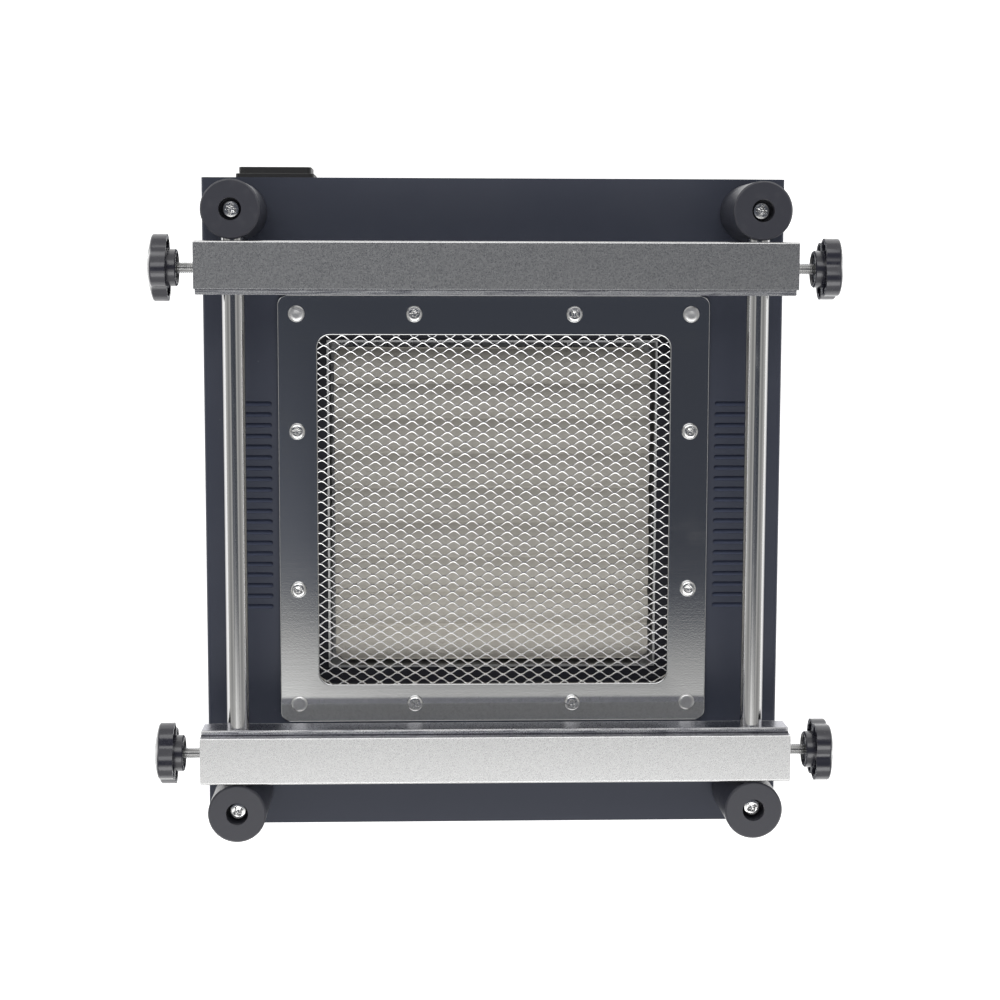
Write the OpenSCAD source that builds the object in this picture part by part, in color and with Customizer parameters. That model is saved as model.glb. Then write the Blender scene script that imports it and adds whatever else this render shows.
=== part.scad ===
// Infrared preheater for circuit boards: a sheet-metal box with a ceramic heater under an
// expanded-metal grille, and two clamp bars that slide on round rods above it.
// X runs to the right, Y to the back and Z up. The origin is on the table, under the middle of the box.

/* [Housing] */
// Width of the box over its sides
body_w = 215; // [200:1:240]
// Depth of the box from front to back
body_d = 242; // [220:1:270]
// Height of the box without its feet
body_h = 62; // [60:1:80]
// Thickness of the box's steel sheet
sheet_t = 1.2; // [0.8:0.1:1.6]
// Outside radius of the cover's two long bends
bend_r = 1.6; // [1.6:0.1:3]
// Height of the lips along the sides of the base pan
lip_h = 14; // [12:1:20]
// Depth of the lips at the top of the front and back walls
wall_lip = 8; // [6:0.5:8]
// Number of louvre slots on each side
louvre_count = 20; // [4:1:24]
// Distance from one louvre slot to the next
louvre_pitch = 4; // [3:0.1:5]
// Width of a louvre slot
louvre_w = 1.8; // [1:0.1:2.4]
// Distance from the box's sides to the outer ends of the louvre slots
louvre_edge = 10; // [6:0.5:16]
// Distance from the window plate to the inner ends of the louvre slots
louvre_gap = 2.5; // [1:0.5:8]
// Drop of a louvre's fin below the cover's top
louvre_drop = 2; // [1.5:0.1:3]

/* [Feet] */
// Diameter of a rubber foot
foot_d = 18; // [14:1:24]
// Height of a rubber foot
foot_h = 8; // [6:0.5:14]
// Distance from the box's edges to the middle of a foot
foot_inset = 24; // [18:1:28]

/* [Window] */
// Width of the window plate's rim round the window
plate_rim = 13.75; // [13:0.25:16]
// Thickness of the window plate
plate_t = 1; // [0.6:0.1:2]
// Corner radius of the window plate
plate_r = 3.7; // [2:0.1:6]
// Gap from the heater's edges to the window's edges, seen from above
window_gap = 6.25; // [4:0.25:7]
// Corner radius of the window
window_r = 8; // [4:0.5:12]
// Place of the window's middle, from the middle of the box towards the back
window_y = -1.7; // [-2.5:0.1:1]
// Distance from the window plate's edges to its fasteners' rows
fastener_inset = 7; // [6:0.1:7.5]
// Distance of the plate screws from the middle of their row
screw_step = 29.6; // [20:0.1:40]
// Head diameter of the plate screws and rivets
fastener_head = 6.1; // [5:0.1:6.5]
// Shank diameter of the plate screws and rivets
fastener_d = 3; // [2:0.1:3.5]

/* [Grille] */
// Long way of a diamond, along X
diamond_long = 6.6; // [5:0.1:12]
// Short way of a diamond, along Y
diamond_short = 3.87; // [3:0.01:8]
// Width of a strand
strand_w = 0.75; // [0.5:0.05:1.1]
// Thickness of the grille sheet
grille_t = 1.2; // [0.8:0.1:2]
// Distance from the window plate's edges to the grille sheet's edges
grille_inset = 2; // [1:0.25:3]

/* [Heater] */
// Width of the square ceramic heater
heater_w = 120; // [108:0.5:132]
// Thickness of the heater below its ridges
heater_t = 7; // [5:0.5:9]
// Number of ridges on the heater
ridge_count = 9; // [5:1:12]
// Height of a ridge
ridge_h = 2.8; // [1.5:0.1:3.4]
// Cut at the heater's corners
heater_cut = 3; // [1:0.5:8]
// Length of the heater's neck along X
neck_l = 32; // [24:1:38]
// Width of the heater's neck along Y
neck_w = 16; // [12:1:20]
// Depth of the heater's neck under its plate
neck_h = 18; // [17:0.5:19]
// Gap between the heater and the reflector tray's walls
tray_gap = 2; // [1:0.25:3]
// Height of the reflector tray
tray_h = 21; // [20:0.5:23]
// Thickness of the tray and of the well
inner_t = 0.8; // [0.6:0.1:1]
// Width of the well's floor round the tray
well_floor = 5.2; // [4:0.1:5.8]
// Depth of the well below the cover's top
well_depth = 17; // [14:0.5:20]

/* [Rods and posts] */
// Diameter of a guide rod
rod_d = 8; // [6:0.1:9]
// Distance from the box's sides to the middle of a guide rod
rod_inset = 13.5; // [12.5:0.5:15]
// Height of the rods' middle above the cover
rod_z = 24.5; // [20:0.5:30]
// Diameter of a post
post_d = 21; // [18:0.5:23]
// Height of a post
post_h = 34; // [33.5:0.5:40]
// Distance from the box's front and back to the middle of a post
post_inset = 12.5; // [11.5:0.5:16]
// Diameter of the screw well in a post
post_well_d = 8; // [7.5:0.1:9]
// Depth of the screw well in a post
post_well = 7; // [5:0.5:9]
// Shank diameter of a post's screw
post_screw_d = 4; // [3:0.1:4.5]

/* [Clamp bars] */
// Length of a clamp bar past the middle of each rod
bar_end = 13; // [11:0.5:17]
// Width of a clamp bar's top face
bar_top_w = 17; // [14:0.5:20]
// Width of the ledge that carries the board
ledge_w = 2; // [1:0.1:4]
// Height of a clamp bar
bar_h = 16; // [14.5:0.5:20]
// Height of the ledge above the bar's bottom
ledge_h = 11; // [10.5:0.5:13]
// Height of the rods' middle above the bar's bottom
rod_seat = 5.5; // [5:0.1:6]
// Gap between an open bar and its posts
bar_gap = 0.5; // [0.3:0.1:4]
// Radius along the bar's outer top edge
bar_round = 1; // [0.5:0.1:2]
// Cut at the bar's inner ends
bar_cut = 2; // [0.5:0.1:3]
// Radial clearance of a bar on its rods
rod_play = 0.05; // [0.02:0.01:0.1]

/* [Clamp knobs] */
// Diameter over a knob's lobes
knob_d = 24; // [20:0.5:27]
// Number of lobes
lobe_count = 6; // [5:1:7]
// Radius of a lobe
lobe_r = 3.4; // [2.8:0.1:3.6]
// Thickness of a knob's head
knob_t = 7.8; // [6.5:0.1:10]
// Height of the dome on a knob's head
knob_dome = 1.8; // [0.8:0.1:2.4]
// Diameter of a knob's hub
hub_d = 13.3; // [10:0.1:14]
// Length of a knob's hub
hub_l = 4.5; // [3:0.1:7]
// Diameter of a clamp stud
stud_d = 4; // [3:0.1:5]
// Length of stud that shows between a bar and its knob
stud_show = 5; // [3:0.1:8]
// Radial clearance of a stud in its bar and knob
stud_play = 0.05; // [0.02:0.01:0.1]
// Gap between a stud's tip and its rod
stud_tip_gap = 0.05; // [0.02:0.01:0.1]

/* [Controls] */
// Height of the controls' middle above the box's bottom
control_z = 32; // [28:0.5:40]
// Place of the display along X
display_x = -48; // [-55:0.5:-40]
// Width of the display window
display_w = 44; // [36:0.5:50]
// Height of the display window
display_h = 19; // [14:0.5:24]
// Place of the middle button along X
button_x = 20; // [14:0.5:24]
// Distance from one button to the next
button_pitch = 17; // [14:0.5:20]
// Diameter of a button
button_d = 9; // [6:0.5:10]
// Travel of a button
button_travel = 1; // [0.5:0.1:1.5]
// Height of a button above the front wall
button_proud = 2.2; // [2:0.1:4]
// Distance from the box's right side to the middle of the power switch
switch_inset = 27.5; // [21.5:0.5:33.5]
// Width of the power switch's frame
switch_w = 15; // [14:0.5:18]
// Height of the power switch's frame
switch_h = 21; // [20.5:0.5:25]
// Radius of the rocker about its pivot
rocker_r = 8.2; // [7:0.1:8.6]
// Width of the rocker
rocker_w = 10.4; // [8:0.1:10.6]
// Tilt of the rocker at each end of its throw
rocker_tilt = 12; // [8:0.5:14]

/* [Mains inlet] */
// Distance from the box's left side to the middle of the inlet
inlet_inset = 25.5; // [21.5:0.5:33.5]
// Width of the inlet's flange
inlet_w = 29.4; // [28.6:0.1:32]
// Height of the inlet's flange
inlet_h = 24; // [22:0.5:27]
// Thickness of the inlet's flange
inlet_flange = 2.4; // [1.5:0.1:3]
// Reach of the inlet's collar past its flange
inlet_collar = 2.5; // [1:0.1:4]

/* [Hidden] */
$fn = 64;

// Clearance between sheets and frames that slide together
seam = 0.2;
// Clearance round a screw's shank in a plain hole
screw_play = 0.3;
// Clearance round the buttons and the rocker
press_play = 0.3;
// Radial clearance of a nut's bore on its screw
thread_play = 0.05;

// Heights above the table
pan_z = foot_h;
floor_z = pan_z + sheet_t;
cover_z = pan_z + body_h;
roof_z = cover_z - sheet_t;
grille_z = cover_z;
plate_z = grille_z + grille_t;
plate_top = plate_z + plate_t;
well_z = cover_z - well_depth;
tray_top = well_z + inner_t;
tray_z = tray_top - tray_h;
rod_axis_z = cover_z + rod_z;
bar_z = rod_axis_z - rod_seat;
controls_z = pan_z + control_z;

// Plan sizes of the box
front_y = -body_d / 2;
back_y = body_d / 2;
side_x = body_w / 2;
pan_w = body_w - 2 * (sheet_t + seam);
foot_x = side_x - foot_inset;
foot_y = body_d / 2 - foot_inset;
lip_screw_y = body_d / 4;
lip_screw_z = floor_z + lip_h / 2;
lip_screw_d = 3;
lip_l = body_d - 2 * wall_lip;

// Plan sizes of the tray, well, window, plate and grille, from the heater outwards
tray_w = heater_w + 2 * tray_gap;
tray_out = tray_w + 2 * inner_t;
well_w = tray_out + 2 * well_floor;
well_out = well_w + 2 * inner_t;
well_hole = well_out + 2 * seam;
window_w = heater_w + 2 * window_gap;
plate_w = window_w + 2 * plate_rim;
grille_w = plate_w - 2 * grille_inset;
fastener_row = plate_w / 2 - fastener_inset;
louvre_x = plate_w / 2 + louvre_gap;
louvre_l = side_x - louvre_edge - louvre_x;
fin_t = 0.8;
fin_lip = 0.3;
fin_root = 0.3;
fastener_stack = plate_t + grille_t + sheet_t + inner_t;
nut_t = 2.4;
nut_af = 5.5;
screw_tail = 1.5;
fastener_head_h = 2;
rivet_h = 1.2;
rivet_tail = 1;
rivet_dimple = 0.4;
rivet_dimple_d = 2.6;

// Heater, clip, brackets and probe
heater_gap = 1.5;
heater_top = well_z + heater_gap;
heater_base = heater_top - ridge_h - heater_t;
ridge_pitch = heater_w / ridge_count;
ridge_valley = 0.9;
ridge_half = (ridge_pitch - ridge_valley) / 2;
ridge_r = (ridge_half * ridge_half + ridge_h * ridge_h) / (2 * ridge_h);
neck_r = 3;
clip_t = 0.8;
clip_play = 0.05;
clip_margin = 8;
clip_drop = 6;
bracket_x = 44;
bracket_w = 18;
bracket_foot = 10;
bracket_l = 70;
bracket_t = 1.2;
bracket_h = tray_z - floor_z;
board_t = 5;
board_l = 96;
probe_d = 3;
probe_play = 0.3;
probe_x = 30;
probe_reach = 34;
probe_collar = 6;
probe_z = (tray_z + inner_t + heater_base) / 2;

// Rods and posts
post_x = side_x - rod_inset;
post_y = body_d / 2 - post_inset;
post_edge = 0.6;
socket_wall = 0.6;
rod_socket = post_d / 2 - post_well_d / 2 - socket_wall;
rod_l = 2 * (post_y - post_d / 2 + rod_socket - seam);
rod_edge = 0.5;
post_head_d = 6.8;
post_head_h = 2.7;
post_nut_af = 7;
post_nut_t = 3.2;
post_screw_l = post_h - post_well + sheet_t + post_nut_t + screw_tail;

// Clamp bars and knobs
bar_w = bar_top_w + ledge_w;
bar_l = 2 * (post_x + bar_end);
bar_outer = post_y - post_d / 2 - bar_gap;
bar_mid = bar_outer - bar_w / 2;
knob_x = bar_l / 2 + stud_show;
stud_in = post_x + rod_d / 2 + stud_tip_gap;
stud_out = knob_x + hub_l + knob_t / 2;
lobe_at = knob_d / 2 - lobe_r;
flute_r = 3;
flute_bite = 1.1;
lobe_wall = 1.2;
flute_turn = 180 / lobe_count;
flute_at = lobe_at * cos(flute_turn)
    + sqrt(pow(lobe_r + flute_r, 2) - pow(lobe_at * sin(flute_turn), 2));
knob_core = flute_at - flute_r + flute_bite;
pocket_r = lobe_r - lobe_wall;
pocket_depth = 3.5;

// Front controls, measured back from the front wall's outer face
wall_in = front_y + sheet_t;
board_gap = 12;
pcb_t = 1.6;
pcb_y = wall_in + board_gap;
pcb_past_display = 6;
pcb_past_buttons = 12;
pcb_left = display_x - display_w / 2 - pcb_past_display;
pcb_right = button_x + button_pitch + pcb_past_buttons;
pcb_h = 44;
standoff_d = 6;
standoff_in = 4;
lens_lip = 2;
lens_t = 1.2;
lens_r = 1.5;
module_margin = 3;
module_t = 8;
button_flange = 2;
button_flange_t = 1.2;
button_gap = 0.05;
button_stem = 3;
button_edge = 0.6;
button_back = wall_in + button_gap + button_flange_t + button_stem;
tact_w = 6;
tact_pin_d = 3.5;
stem_d = tact_pin_d + 2;
tact_body = 3.5;
switch_x = side_x - switch_inset;
switch_frame_t = 2;
switch_lip = 1;
switch_hole_w = switch_w - 2 * switch_lip;
switch_hole_h = switch_h - 2 * switch_lip;
switch_depth = 20;
switch_cavity = 8;
rocker_front = 5.2;
rocker_back = 4;
rocker_dish = 0.8;
pivot_back = 1.9;
pivot_y = front_y + pivot_back;
pivot_d = 2.4;
pivot_l = 0.6;
pivot_play = 0.05;

// Inlet, measured from the back wall's outer face
inlet_x = inlet_inset - side_x;
inlet_rise = 30;
inlet_z = pan_z + inlet_rise;
inlet_rim_x = 1.1;
inlet_rim_z = 2;
inlet_r = 2;
inlet_body_w = inlet_w - 2 * inlet_rim_x;
inlet_body_h = inlet_h - 2 * inlet_rim_z;
inlet_face_y = back_y + inlet_flange + inlet_collar;
inlet_depth = 20;
socket_w = 24;
socket_h = 16.4;
socket_cut = 4;
socket_depth = 16.5;
socket_pin_w = 4;
socket_pin_t = 2;
socket_pin_step = 7;
pin_drop = 1.5;
earth_lift = 2;
pin_recess = 2;
pin_tail = 9;

// Parts on the floor behind the heater
floor_part_inset = 29;
floor_part_y = back_y - floor_part_inset;
relay_w = 58;
relay_gap = 6.5;
relay_x = foot_x - relay_gap - relay_w / 2;
relay_d = 45;
relay_h = 23;
relay_base_t = 3;
relay_ear = 7;
relay_r = 2;
terminal_x = -20;
terminal_poles = 3;
terminal_pitch = 10;
terminal_d = 20;
terminal_h = 16;
terminal_cut_w = 6;
terminal_cut_d = 4;
earth_x = -50;
earth_d = 4;
earth_l = 14;
earth_head_d = 8;
earth_head_h = 2;

// Vent slots in the floor
vent_count = 9;
vent_pitch = 8;
vent_l = 20;
vent_w = 3;
vent_x = 68;

// Feet and outer screws
foot_taper = 1.6;
foot_flare = 0.8;
foot_head_d = 5.4;
foot_head_h = 1.8;
cover_tail = 4;

// Places of the plate screws and of the corner rivets
screw_spots = [
    for (turn = [0 : 90 : 270], side = [-1, 1])
        [fastener_row * cos(turn) - side * screw_step * sin(turn),
         fastener_row * sin(turn) + side * screw_step * cos(turn) + window_y]
];
rivet_spots = [
    for (sx = [-1, 1], sy = [-1, 1]) [sx * fastener_row, sy * fastener_row + window_y]
];
post_spots = [for (sx = [-1, 1], sy = [-1, 1]) [sx * post_x, sy * post_y]];
foot_spots = [for (sx = [-1, 1], sy = [-1, 1]) [sx * foot_x, sy * foot_y]];

// Square with round corners, centred
module round_square(w, h, r) {
    square([w - 2 * r, h], center = true);
    square([w, h - 2 * r], center = true);
    for (sx = [-1, 1], sy = [-1, 1])
        translate([sx * (w / 2 - r), sy * (h / 2 - r)])
            circle(r);
}

// Square with cut corners, centred
module cut_square(w, h, cut) {
    polygon([
        for (p = [[1, 1, 0, -1], [1, 1, -1, 0], [-1, 1, 1, 0], [-1, 1, 0, -1],
                  [-1, -1, 0, 1], [-1, -1, 1, 0], [1, -1, -1, 0], [1, -1, 0, 1]])
            [p[0] * w / 2 + p[2] * cut, p[1] * h / 2 + p[3] * cut]
    ]);
}

// Slot with round ends along X, starting at the origin
module slot(l, w) {
    translate([w / 2, -w / 2])
        square([l - w, w]);
    for (x = [w / 2, l - w / 2])
        translate([x, 0])
            circle(w / 2);
}

// Copies of the children at each spot, at one height
module at_spots(spots, z) {
    for (spot = spots)
        translate([spot[0], spot[1], z])
            children();
}

// Extrudes a drawing in X and Z along Y, from y0 towards the back
module along_y(y0, l) {
    translate([0, y0 + l, 0])
        rotate([90, 0, 0])
            linear_extrude(l)
                children();
}

// Extrudes a drawing in Y and Z along X, centred
module along_x(l) {
    rotate([90, 0, 90])
        linear_extrude(l, center = true)
            children();
}

// Shallow dome standing on the origin
module domed_head(d, h) {
    crown = d * d / 8 / h + h / 2;
    intersection() {
        translate([0, 0, h - crown])
            sphere(crown);
        cylinder(d = d, h = h);
    }
}

// Pan-head screw pointing down, with its seat at the origin and a cross in its head
module pan_screw(head_d, head_h, d, l) {
    cross_l = head_d * 0.6;
    cross_w = head_d * 0.14;
    difference() {
        union() {
            domed_head(head_d, head_h);
            translate([0, 0, -l])
                cylinder(d = d, h = l + head_h / 4);
        }
        for (turn = [0, 90])
            rotate(turn)
                translate([-cross_l / 2, -cross_w / 2, head_h / 2])
                    cube([cross_l, cross_w, head_h]);
    }
}

// Hexagon nut standing on the origin
module hex_nut(af, t, d) {
    difference() {
        cylinder(d = af / cos(30), h = t, $fn = 6);
        translate([0, 0, -1])
            cylinder(d = d + 2 * thread_play, h = t + 2);
    }
}

// Sheet-metal housing
module lip_holes() {
    for (sy = [-1, 1])
        translate([0, sy * lip_screw_y, lip_screw_z])
            rotate([0, 90, 0])
                cylinder(d = lip_screw_d + 2 * screw_play, h = body_w + 2, center = true);
}

module cover_profile() {
    difference() {
        union() {
            translate([-side_x, pan_z])
                square([body_w, body_h - bend_r]);
            translate([-side_x + bend_r, pan_z])
                square([body_w - 2 * bend_r, body_h]);
            for (sx = [-1, 1])
                translate([sx * (side_x - bend_r), cover_z - bend_r])
                    circle(bend_r);
        }
        translate([-side_x + sheet_t, pan_z - 1])
            square([body_w - 2 * sheet_t, body_h - sheet_t + 1]);
    }
}

module cover_openings() {
    translate([0, window_y])
        square(well_hole, center = true);
    for (spot = concat(screw_spots, rivet_spots))
        translate(spot)
            circle(d = fastener_d + 2 * screw_play);
    for (spot = post_spots)
        translate(spot)
            circle(d = post_screw_d + 2 * screw_play);
    at_louvres()
        slot(louvre_l, louvre_w);
}

// Copies of the children at the inner end of each louvre
module at_louvres() {
    for (k = [0 : louvre_count - 1], sx = [0, 1])
        mirror([sx, 0, 0])
            translate([louvre_x, (k - (louvre_count - 1) / 2) * louvre_pitch, 0])
                children();
}

// Tongue of sheet along a slot's front edge, pressed down towards the back to leave a slit
module louvre_fin() {
    edge = louvre_w / 2;
    translate([louvre_l / 2, 0, cover_z])
        along_x(louvre_l + 2 * fin_root)
            polygon([
                [-edge - fin_root, -fin_lip], [-edge, -fin_lip], [edge, -louvre_drop],
                [edge, -louvre_drop - fin_t], [-edge - fin_root, -fin_lip - fin_t]
            ]);
}

module top_cover() {
    color([0.16, 0.17, 0.2]) {
        difference() {
            along_y(front_y, body_d)
                cover_profile();
            translate([0, 0, roof_z - 1])
                linear_extrude(sheet_t + 2)
                    cover_openings();
            lip_holes();
        }
        at_louvres()
            louvre_fin();
    }
}

module pan_profile() {
    translate([front_y, pan_z])
        square([body_d, sheet_t]);
    for (turn = [0, 1])
        mirror([turn, 0]) {
            translate([front_y, pan_z])
                square([sheet_t, roof_z - pan_z]);
            translate([front_y, roof_z - sheet_t])
                square([wall_lip, sheet_t]);
        }
}

module wall_openings() {
    translate([display_x, controls_z])
        round_square(display_w, display_h, lens_r);
    for (k = [-1 : 1])
        translate([button_x + k * button_pitch, controls_z])
            circle(d = button_d + 2 * press_play);
    translate([switch_x, controls_z])
        square([switch_hole_w, switch_hole_h], center = true);
}

module base_pan() {
    color([0.16, 0.17, 0.2])
        difference() {
            union() {
                along_x(pan_w)
                    pan_profile();
                for (sx = [-1, 1])
                    translate([sx * (pan_w - sheet_t) / 2, 0, pan_z])
                        linear_extrude(sheet_t + lip_h)
                            square([sheet_t, lip_l], center = true);
            }
            along_y(front_y - 1, sheet_t + 2)
                wall_openings();
            along_y(back_y - sheet_t - 1, sheet_t + 2)
                translate([inlet_x, inlet_z])
                    square([inlet_body_w + 2 * seam, inlet_body_h + 2 * seam], center = true);
            at_spots(foot_spots, pan_z - 1)
                cylinder(d = lip_screw_d + 2 * screw_play, h = sheet_t + 2);
            lip_holes();
            translate([earth_x, floor_part_y, pan_z - 1])
                cylinder(d = earth_d + 2 * screw_play, h = sheet_t + 2);
            translate([0, 0, pan_z - 1])
                linear_extrude(sheet_t + 2)
                    for (k = [0 : vent_count - 1], turn = [0, 180])
                        rotate(turn)
                            translate([vent_x, (k - (vent_count - 1) / 2) * vent_pitch])
                                slot(vent_l, vent_w);
        }
}

// Heater under the window
module heater_well() {
    color([0.12, 0.12, 0.14])
        translate([0, window_y, 0])
            difference() {
                union() {
                    translate([0, 0, roof_z - inner_t])
                        linear_extrude(inner_t)
                            square(grille_w, center = true);
                    translate([0, 0, well_z - inner_t])
                        linear_extrude(roof_z - well_z + inner_t)
                            square(well_out, center = true);
                }
                translate([0, 0, well_z])
                    linear_extrude(well_depth)
                        square(well_w, center = true);
                translate([0, 0, well_z - inner_t - 1])
                    linear_extrude(inner_t + 2)
                        square(tray_out + 2 * seam, center = true);
                for (spot = concat(screw_spots, rivet_spots))
                    translate([spot[0], spot[1] - window_y, roof_z - inner_t - 1])
                        cylinder(d = fastener_d + 2 * screw_play, h = inner_t + 2);
            }
}

module reflector_tray() {
    color([0.75, 0.75, 0.74])
        translate([0, window_y, 0])
            difference() {
                translate([0, 0, tray_z])
                    linear_extrude(tray_h)
                        square(tray_out, center = true);
                translate([0, 0, tray_z + inner_t])
                    linear_extrude(tray_h)
                        square(tray_w, center = true);
                translate([0, 0, tray_z - 1])
                    linear_extrude(inner_t + 2)
                        square([neck_l + 2 * seam, neck_w + 2 * seam], center = true);
                translate([probe_x, tray_w / 2 - 1, probe_z])
                    rotate([-90, 0, 0])
                        cylinder(d = probe_d + 2 * probe_play, h = inner_t + 2);
            }
}

module heater_profile() {
    translate([-heater_w / 2, 0])
        square([heater_w, heater_t]);
    for (k = [0 : ridge_count - 1])
        intersection() {
            translate([(k - (ridge_count - 1) / 2) * ridge_pitch, heater_t + ridge_h - ridge_r])
                circle(ridge_r);
            translate([-heater_w / 2, heater_t / 2])
                square([heater_w, heater_t]);
        }
}

module ceramic_heater() {
    color([0.72, 0.68, 0.6])
        translate([0, window_y, heater_base]) {
            intersection() {
                along_x(heater_w)
                    heater_profile();
                linear_extrude(heater_t + ridge_h + 1)
                    cut_square(heater_w, heater_w, heater_cut);
            }
            translate([0, 0, -neck_h])
                linear_extrude(neck_h)
                    round_square(neck_l, neck_w, neck_r);
        }
}

module heater_clip() {
    clip_w = neck_w + 2 * clip_margin;
    color([0.7, 0.7, 0.7])
        translate([0, window_y, tray_z - clip_t])
            difference() {
                union() {
                    linear_extrude(clip_t)
                        square([neck_l + 2 * clip_margin, clip_w], center = true);
                    for (sy = [-1, 1])
                        translate([0, sy * (clip_w / 2 - clip_t / 2), clip_t / 2 - clip_drop / 2])
                            cube([neck_l, clip_t, clip_drop + clip_t], center = true);
                }
                translate([0, 0, -1])
                    linear_extrude(clip_t + 2)
                        round_square(neck_l + 2 * clip_play, neck_w + 2 * clip_play, neck_r + clip_play);
            }
}

module bracket_profile() {
    for (sx = [-1, 1]) {
        translate([sx * (bracket_w - bracket_t) / 2 - bracket_t / 2, 0])
            square([bracket_t, bracket_h]);
        translate([sx > 0 ? bracket_w / 2 - bracket_t : -bracket_w / 2 - bracket_foot + bracket_t, 0])
            square([bracket_foot, bracket_t]);
    }
    translate([-bracket_w / 2, bracket_h - bracket_t])
        square([bracket_w, bracket_t]);
}

module tray_brackets() {
    color([0.66, 0.67, 0.68])
        for (sx = [-1, 1])
            translate([sx * bracket_x, 0, floor_z])
                along_y(window_y - bracket_l / 2, bracket_l)
                    bracket_profile();
}

module insulation_board() {
    color([0.86, 0.85, 0.8])
        translate([0, window_y, floor_z])
            linear_extrude(board_t)
                square([2 * (bracket_x - bracket_w / 2 - bracket_foot - seam), board_l], center = true);
}

module thermocouple() {
    wall_y = window_y + tray_out / 2;
    color([0.6, 0.6, 0.6])
        translate([probe_x, wall_y, probe_z])
            rotate([90, 0, 0]) {
                translate([0, 0, -probe_collar])
                    cylinder(d = probe_collar, h = probe_collar);
                cylinder(d = probe_d, h = probe_reach);
            }
}

// Window plate, grille and their fasteners
module window_plate() {
    color([0.62, 0.62, 0.62])
        translate([0, 0, plate_z])
            linear_extrude(plate_t)
                difference() {
                    translate([0, window_y])
                        difference() {
                            round_square(plate_w, plate_w, plate_r);
                            round_square(window_w, window_w, window_r);
                        }
                    for (spot = concat(screw_spots, rivet_spots))
                        translate(spot)
                            circle(d = fastener_d + 2 * screw_play);
                }
}

// One family of parallel strands across the window, leaning to one side
module strand_family(lean) {
    strand_turn = lean * atan2(diamond_short, diamond_long);
    strand_l = 2 * window_w / cos(strand_turn);
    half_count = ceil(window_w / 2 * (1 / diamond_long + 1 / diamond_short));
    intersection() {
        square(window_w + 2, center = true);
        for (k = [-half_count : half_count])
            translate([k * diamond_long, 0])
                rotate(strand_turn)
                    square([strand_l, strand_w], center = true);
    }
}

module grille() {
    layer_gap = 0.02;
    layer_t = (grille_t - layer_gap) / 2;
    color([0.82, 0.82, 0.82])
        translate([0, 0, grille_z])
            union() {
                linear_extrude(grille_t)
                    difference() {
                        translate([0, window_y])
                            difference() {
                                square(grille_w, center = true);
                                square(window_w, center = true);
                            }
                        for (spot = concat(screw_spots, rivet_spots))
                            translate(spot)
                                circle(d = fastener_d + 2 * screw_play);
                    }
                for (lean = [-1, 1])
                    translate([0, window_y, lean > 0 ? 0 : grille_t - layer_t])
                        linear_extrude(layer_t)
                            strand_family(lean);
            }
}

module plate_screws() {
    color([0.75, 0.75, 0.75])
        at_spots(screw_spots, plate_top)
            pan_screw(fastener_head, fastener_head_h, fastener_d, fastener_stack + nut_t + screw_tail);
}

module plate_nuts() {
    color([0.7, 0.7, 0.7])
        at_spots(screw_spots, plate_top - fastener_stack - nut_t)
            hex_nut(nut_af, nut_t, fastener_d);
}

module plate_rivets() {
    color([0.8, 0.8, 0.8])
        at_spots(rivet_spots, plate_top)
            difference() {
                union() {
                    domed_head(fastener_head, rivet_h);
                    translate([0, 0, -fastener_stack - rivet_tail])
                        cylinder(d = fastener_d, h = fastener_stack + rivet_tail + rivet_h / 2);
                }
                translate([0, 0, rivet_h - rivet_dimple])
                    cylinder(d = rivet_dimple_d, h = rivet_h);
            }
}

// Posts and guide rods
module post(sx, sy) {
    color([0.08, 0.08, 0.09])
        translate([sx * post_x, sy * post_y, cover_z])
            difference() {
                rotate_extrude()
                    polygon([
                        [0, 0], [post_d / 2, 0], [post_d / 2, post_h - post_edge],
                        [post_d / 2 - post_edge, post_h], [0, post_h]
                    ]);
                translate([0, 0, post_h - post_well])
                    cylinder(d = post_well_d, h = post_well + 1);
                translate([0, 0, -1])
                    cylinder(d = post_screw_d + 2 * screw_play, h = post_h);
                translate([0, -sy * (post_d / 2 - rod_socket), rod_z])
                    rotate([sy * 90, 0, 0])
                        cylinder(d = rod_d + 2 * rod_play, h = rod_socket + 1);
            }
}

module rod(sx) {
    color([0.85, 0.85, 0.85])
        translate([sx * post_x, 0, rod_axis_z])
            rotate([90, 0, 0])
                rotate_extrude()
                    polygon([
                        [0, -rod_l / 2], [rod_d / 2 - rod_edge, -rod_l / 2],
                        [rod_d / 2, -rod_l / 2 + rod_edge], [rod_d / 2, rod_l / 2 - rod_edge],
                        [rod_d / 2 - rod_edge, rod_l / 2], [0, rod_l / 2]
                    ]);
}

module post_screws() {
    color([0.8, 0.8, 0.8])
        at_spots(post_spots, cover_z + post_h - post_well)
            pan_screw(post_head_d, post_head_h, post_screw_d, post_screw_l);
}

module post_nuts() {
    color([0.7, 0.7, 0.7])
        at_spots(post_spots, roof_z - post_nut_t)
            hex_nut(post_nut_af, post_nut_t, post_screw_d);
}

// Clamp bars: a stepped section with the ledge towards the window
module bar_profile() {
    square([bar_w, ledge_h]);
    square([bar_top_w, bar_h - bar_round]);
    translate([bar_round, 0])
        square([bar_top_w - bar_round, bar_h]);
    translate([bar_round, bar_h - bar_round])
        circle(bar_round);
}

// Plan of a bar with its inner ends cut off
module bar_plan() {
    half = bar_l / 2;
    past = 1;
    polygon([
        [-half, -bar_outer - past], [half, -bar_outer - past],
        [half, -bar_outer + bar_w - bar_cut], [half - bar_cut - past, -bar_outer + bar_w + past],
        [-half + bar_cut + past, -bar_outer + bar_w + past], [-half, -bar_outer + bar_w - bar_cut]
    ]);
}

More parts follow.
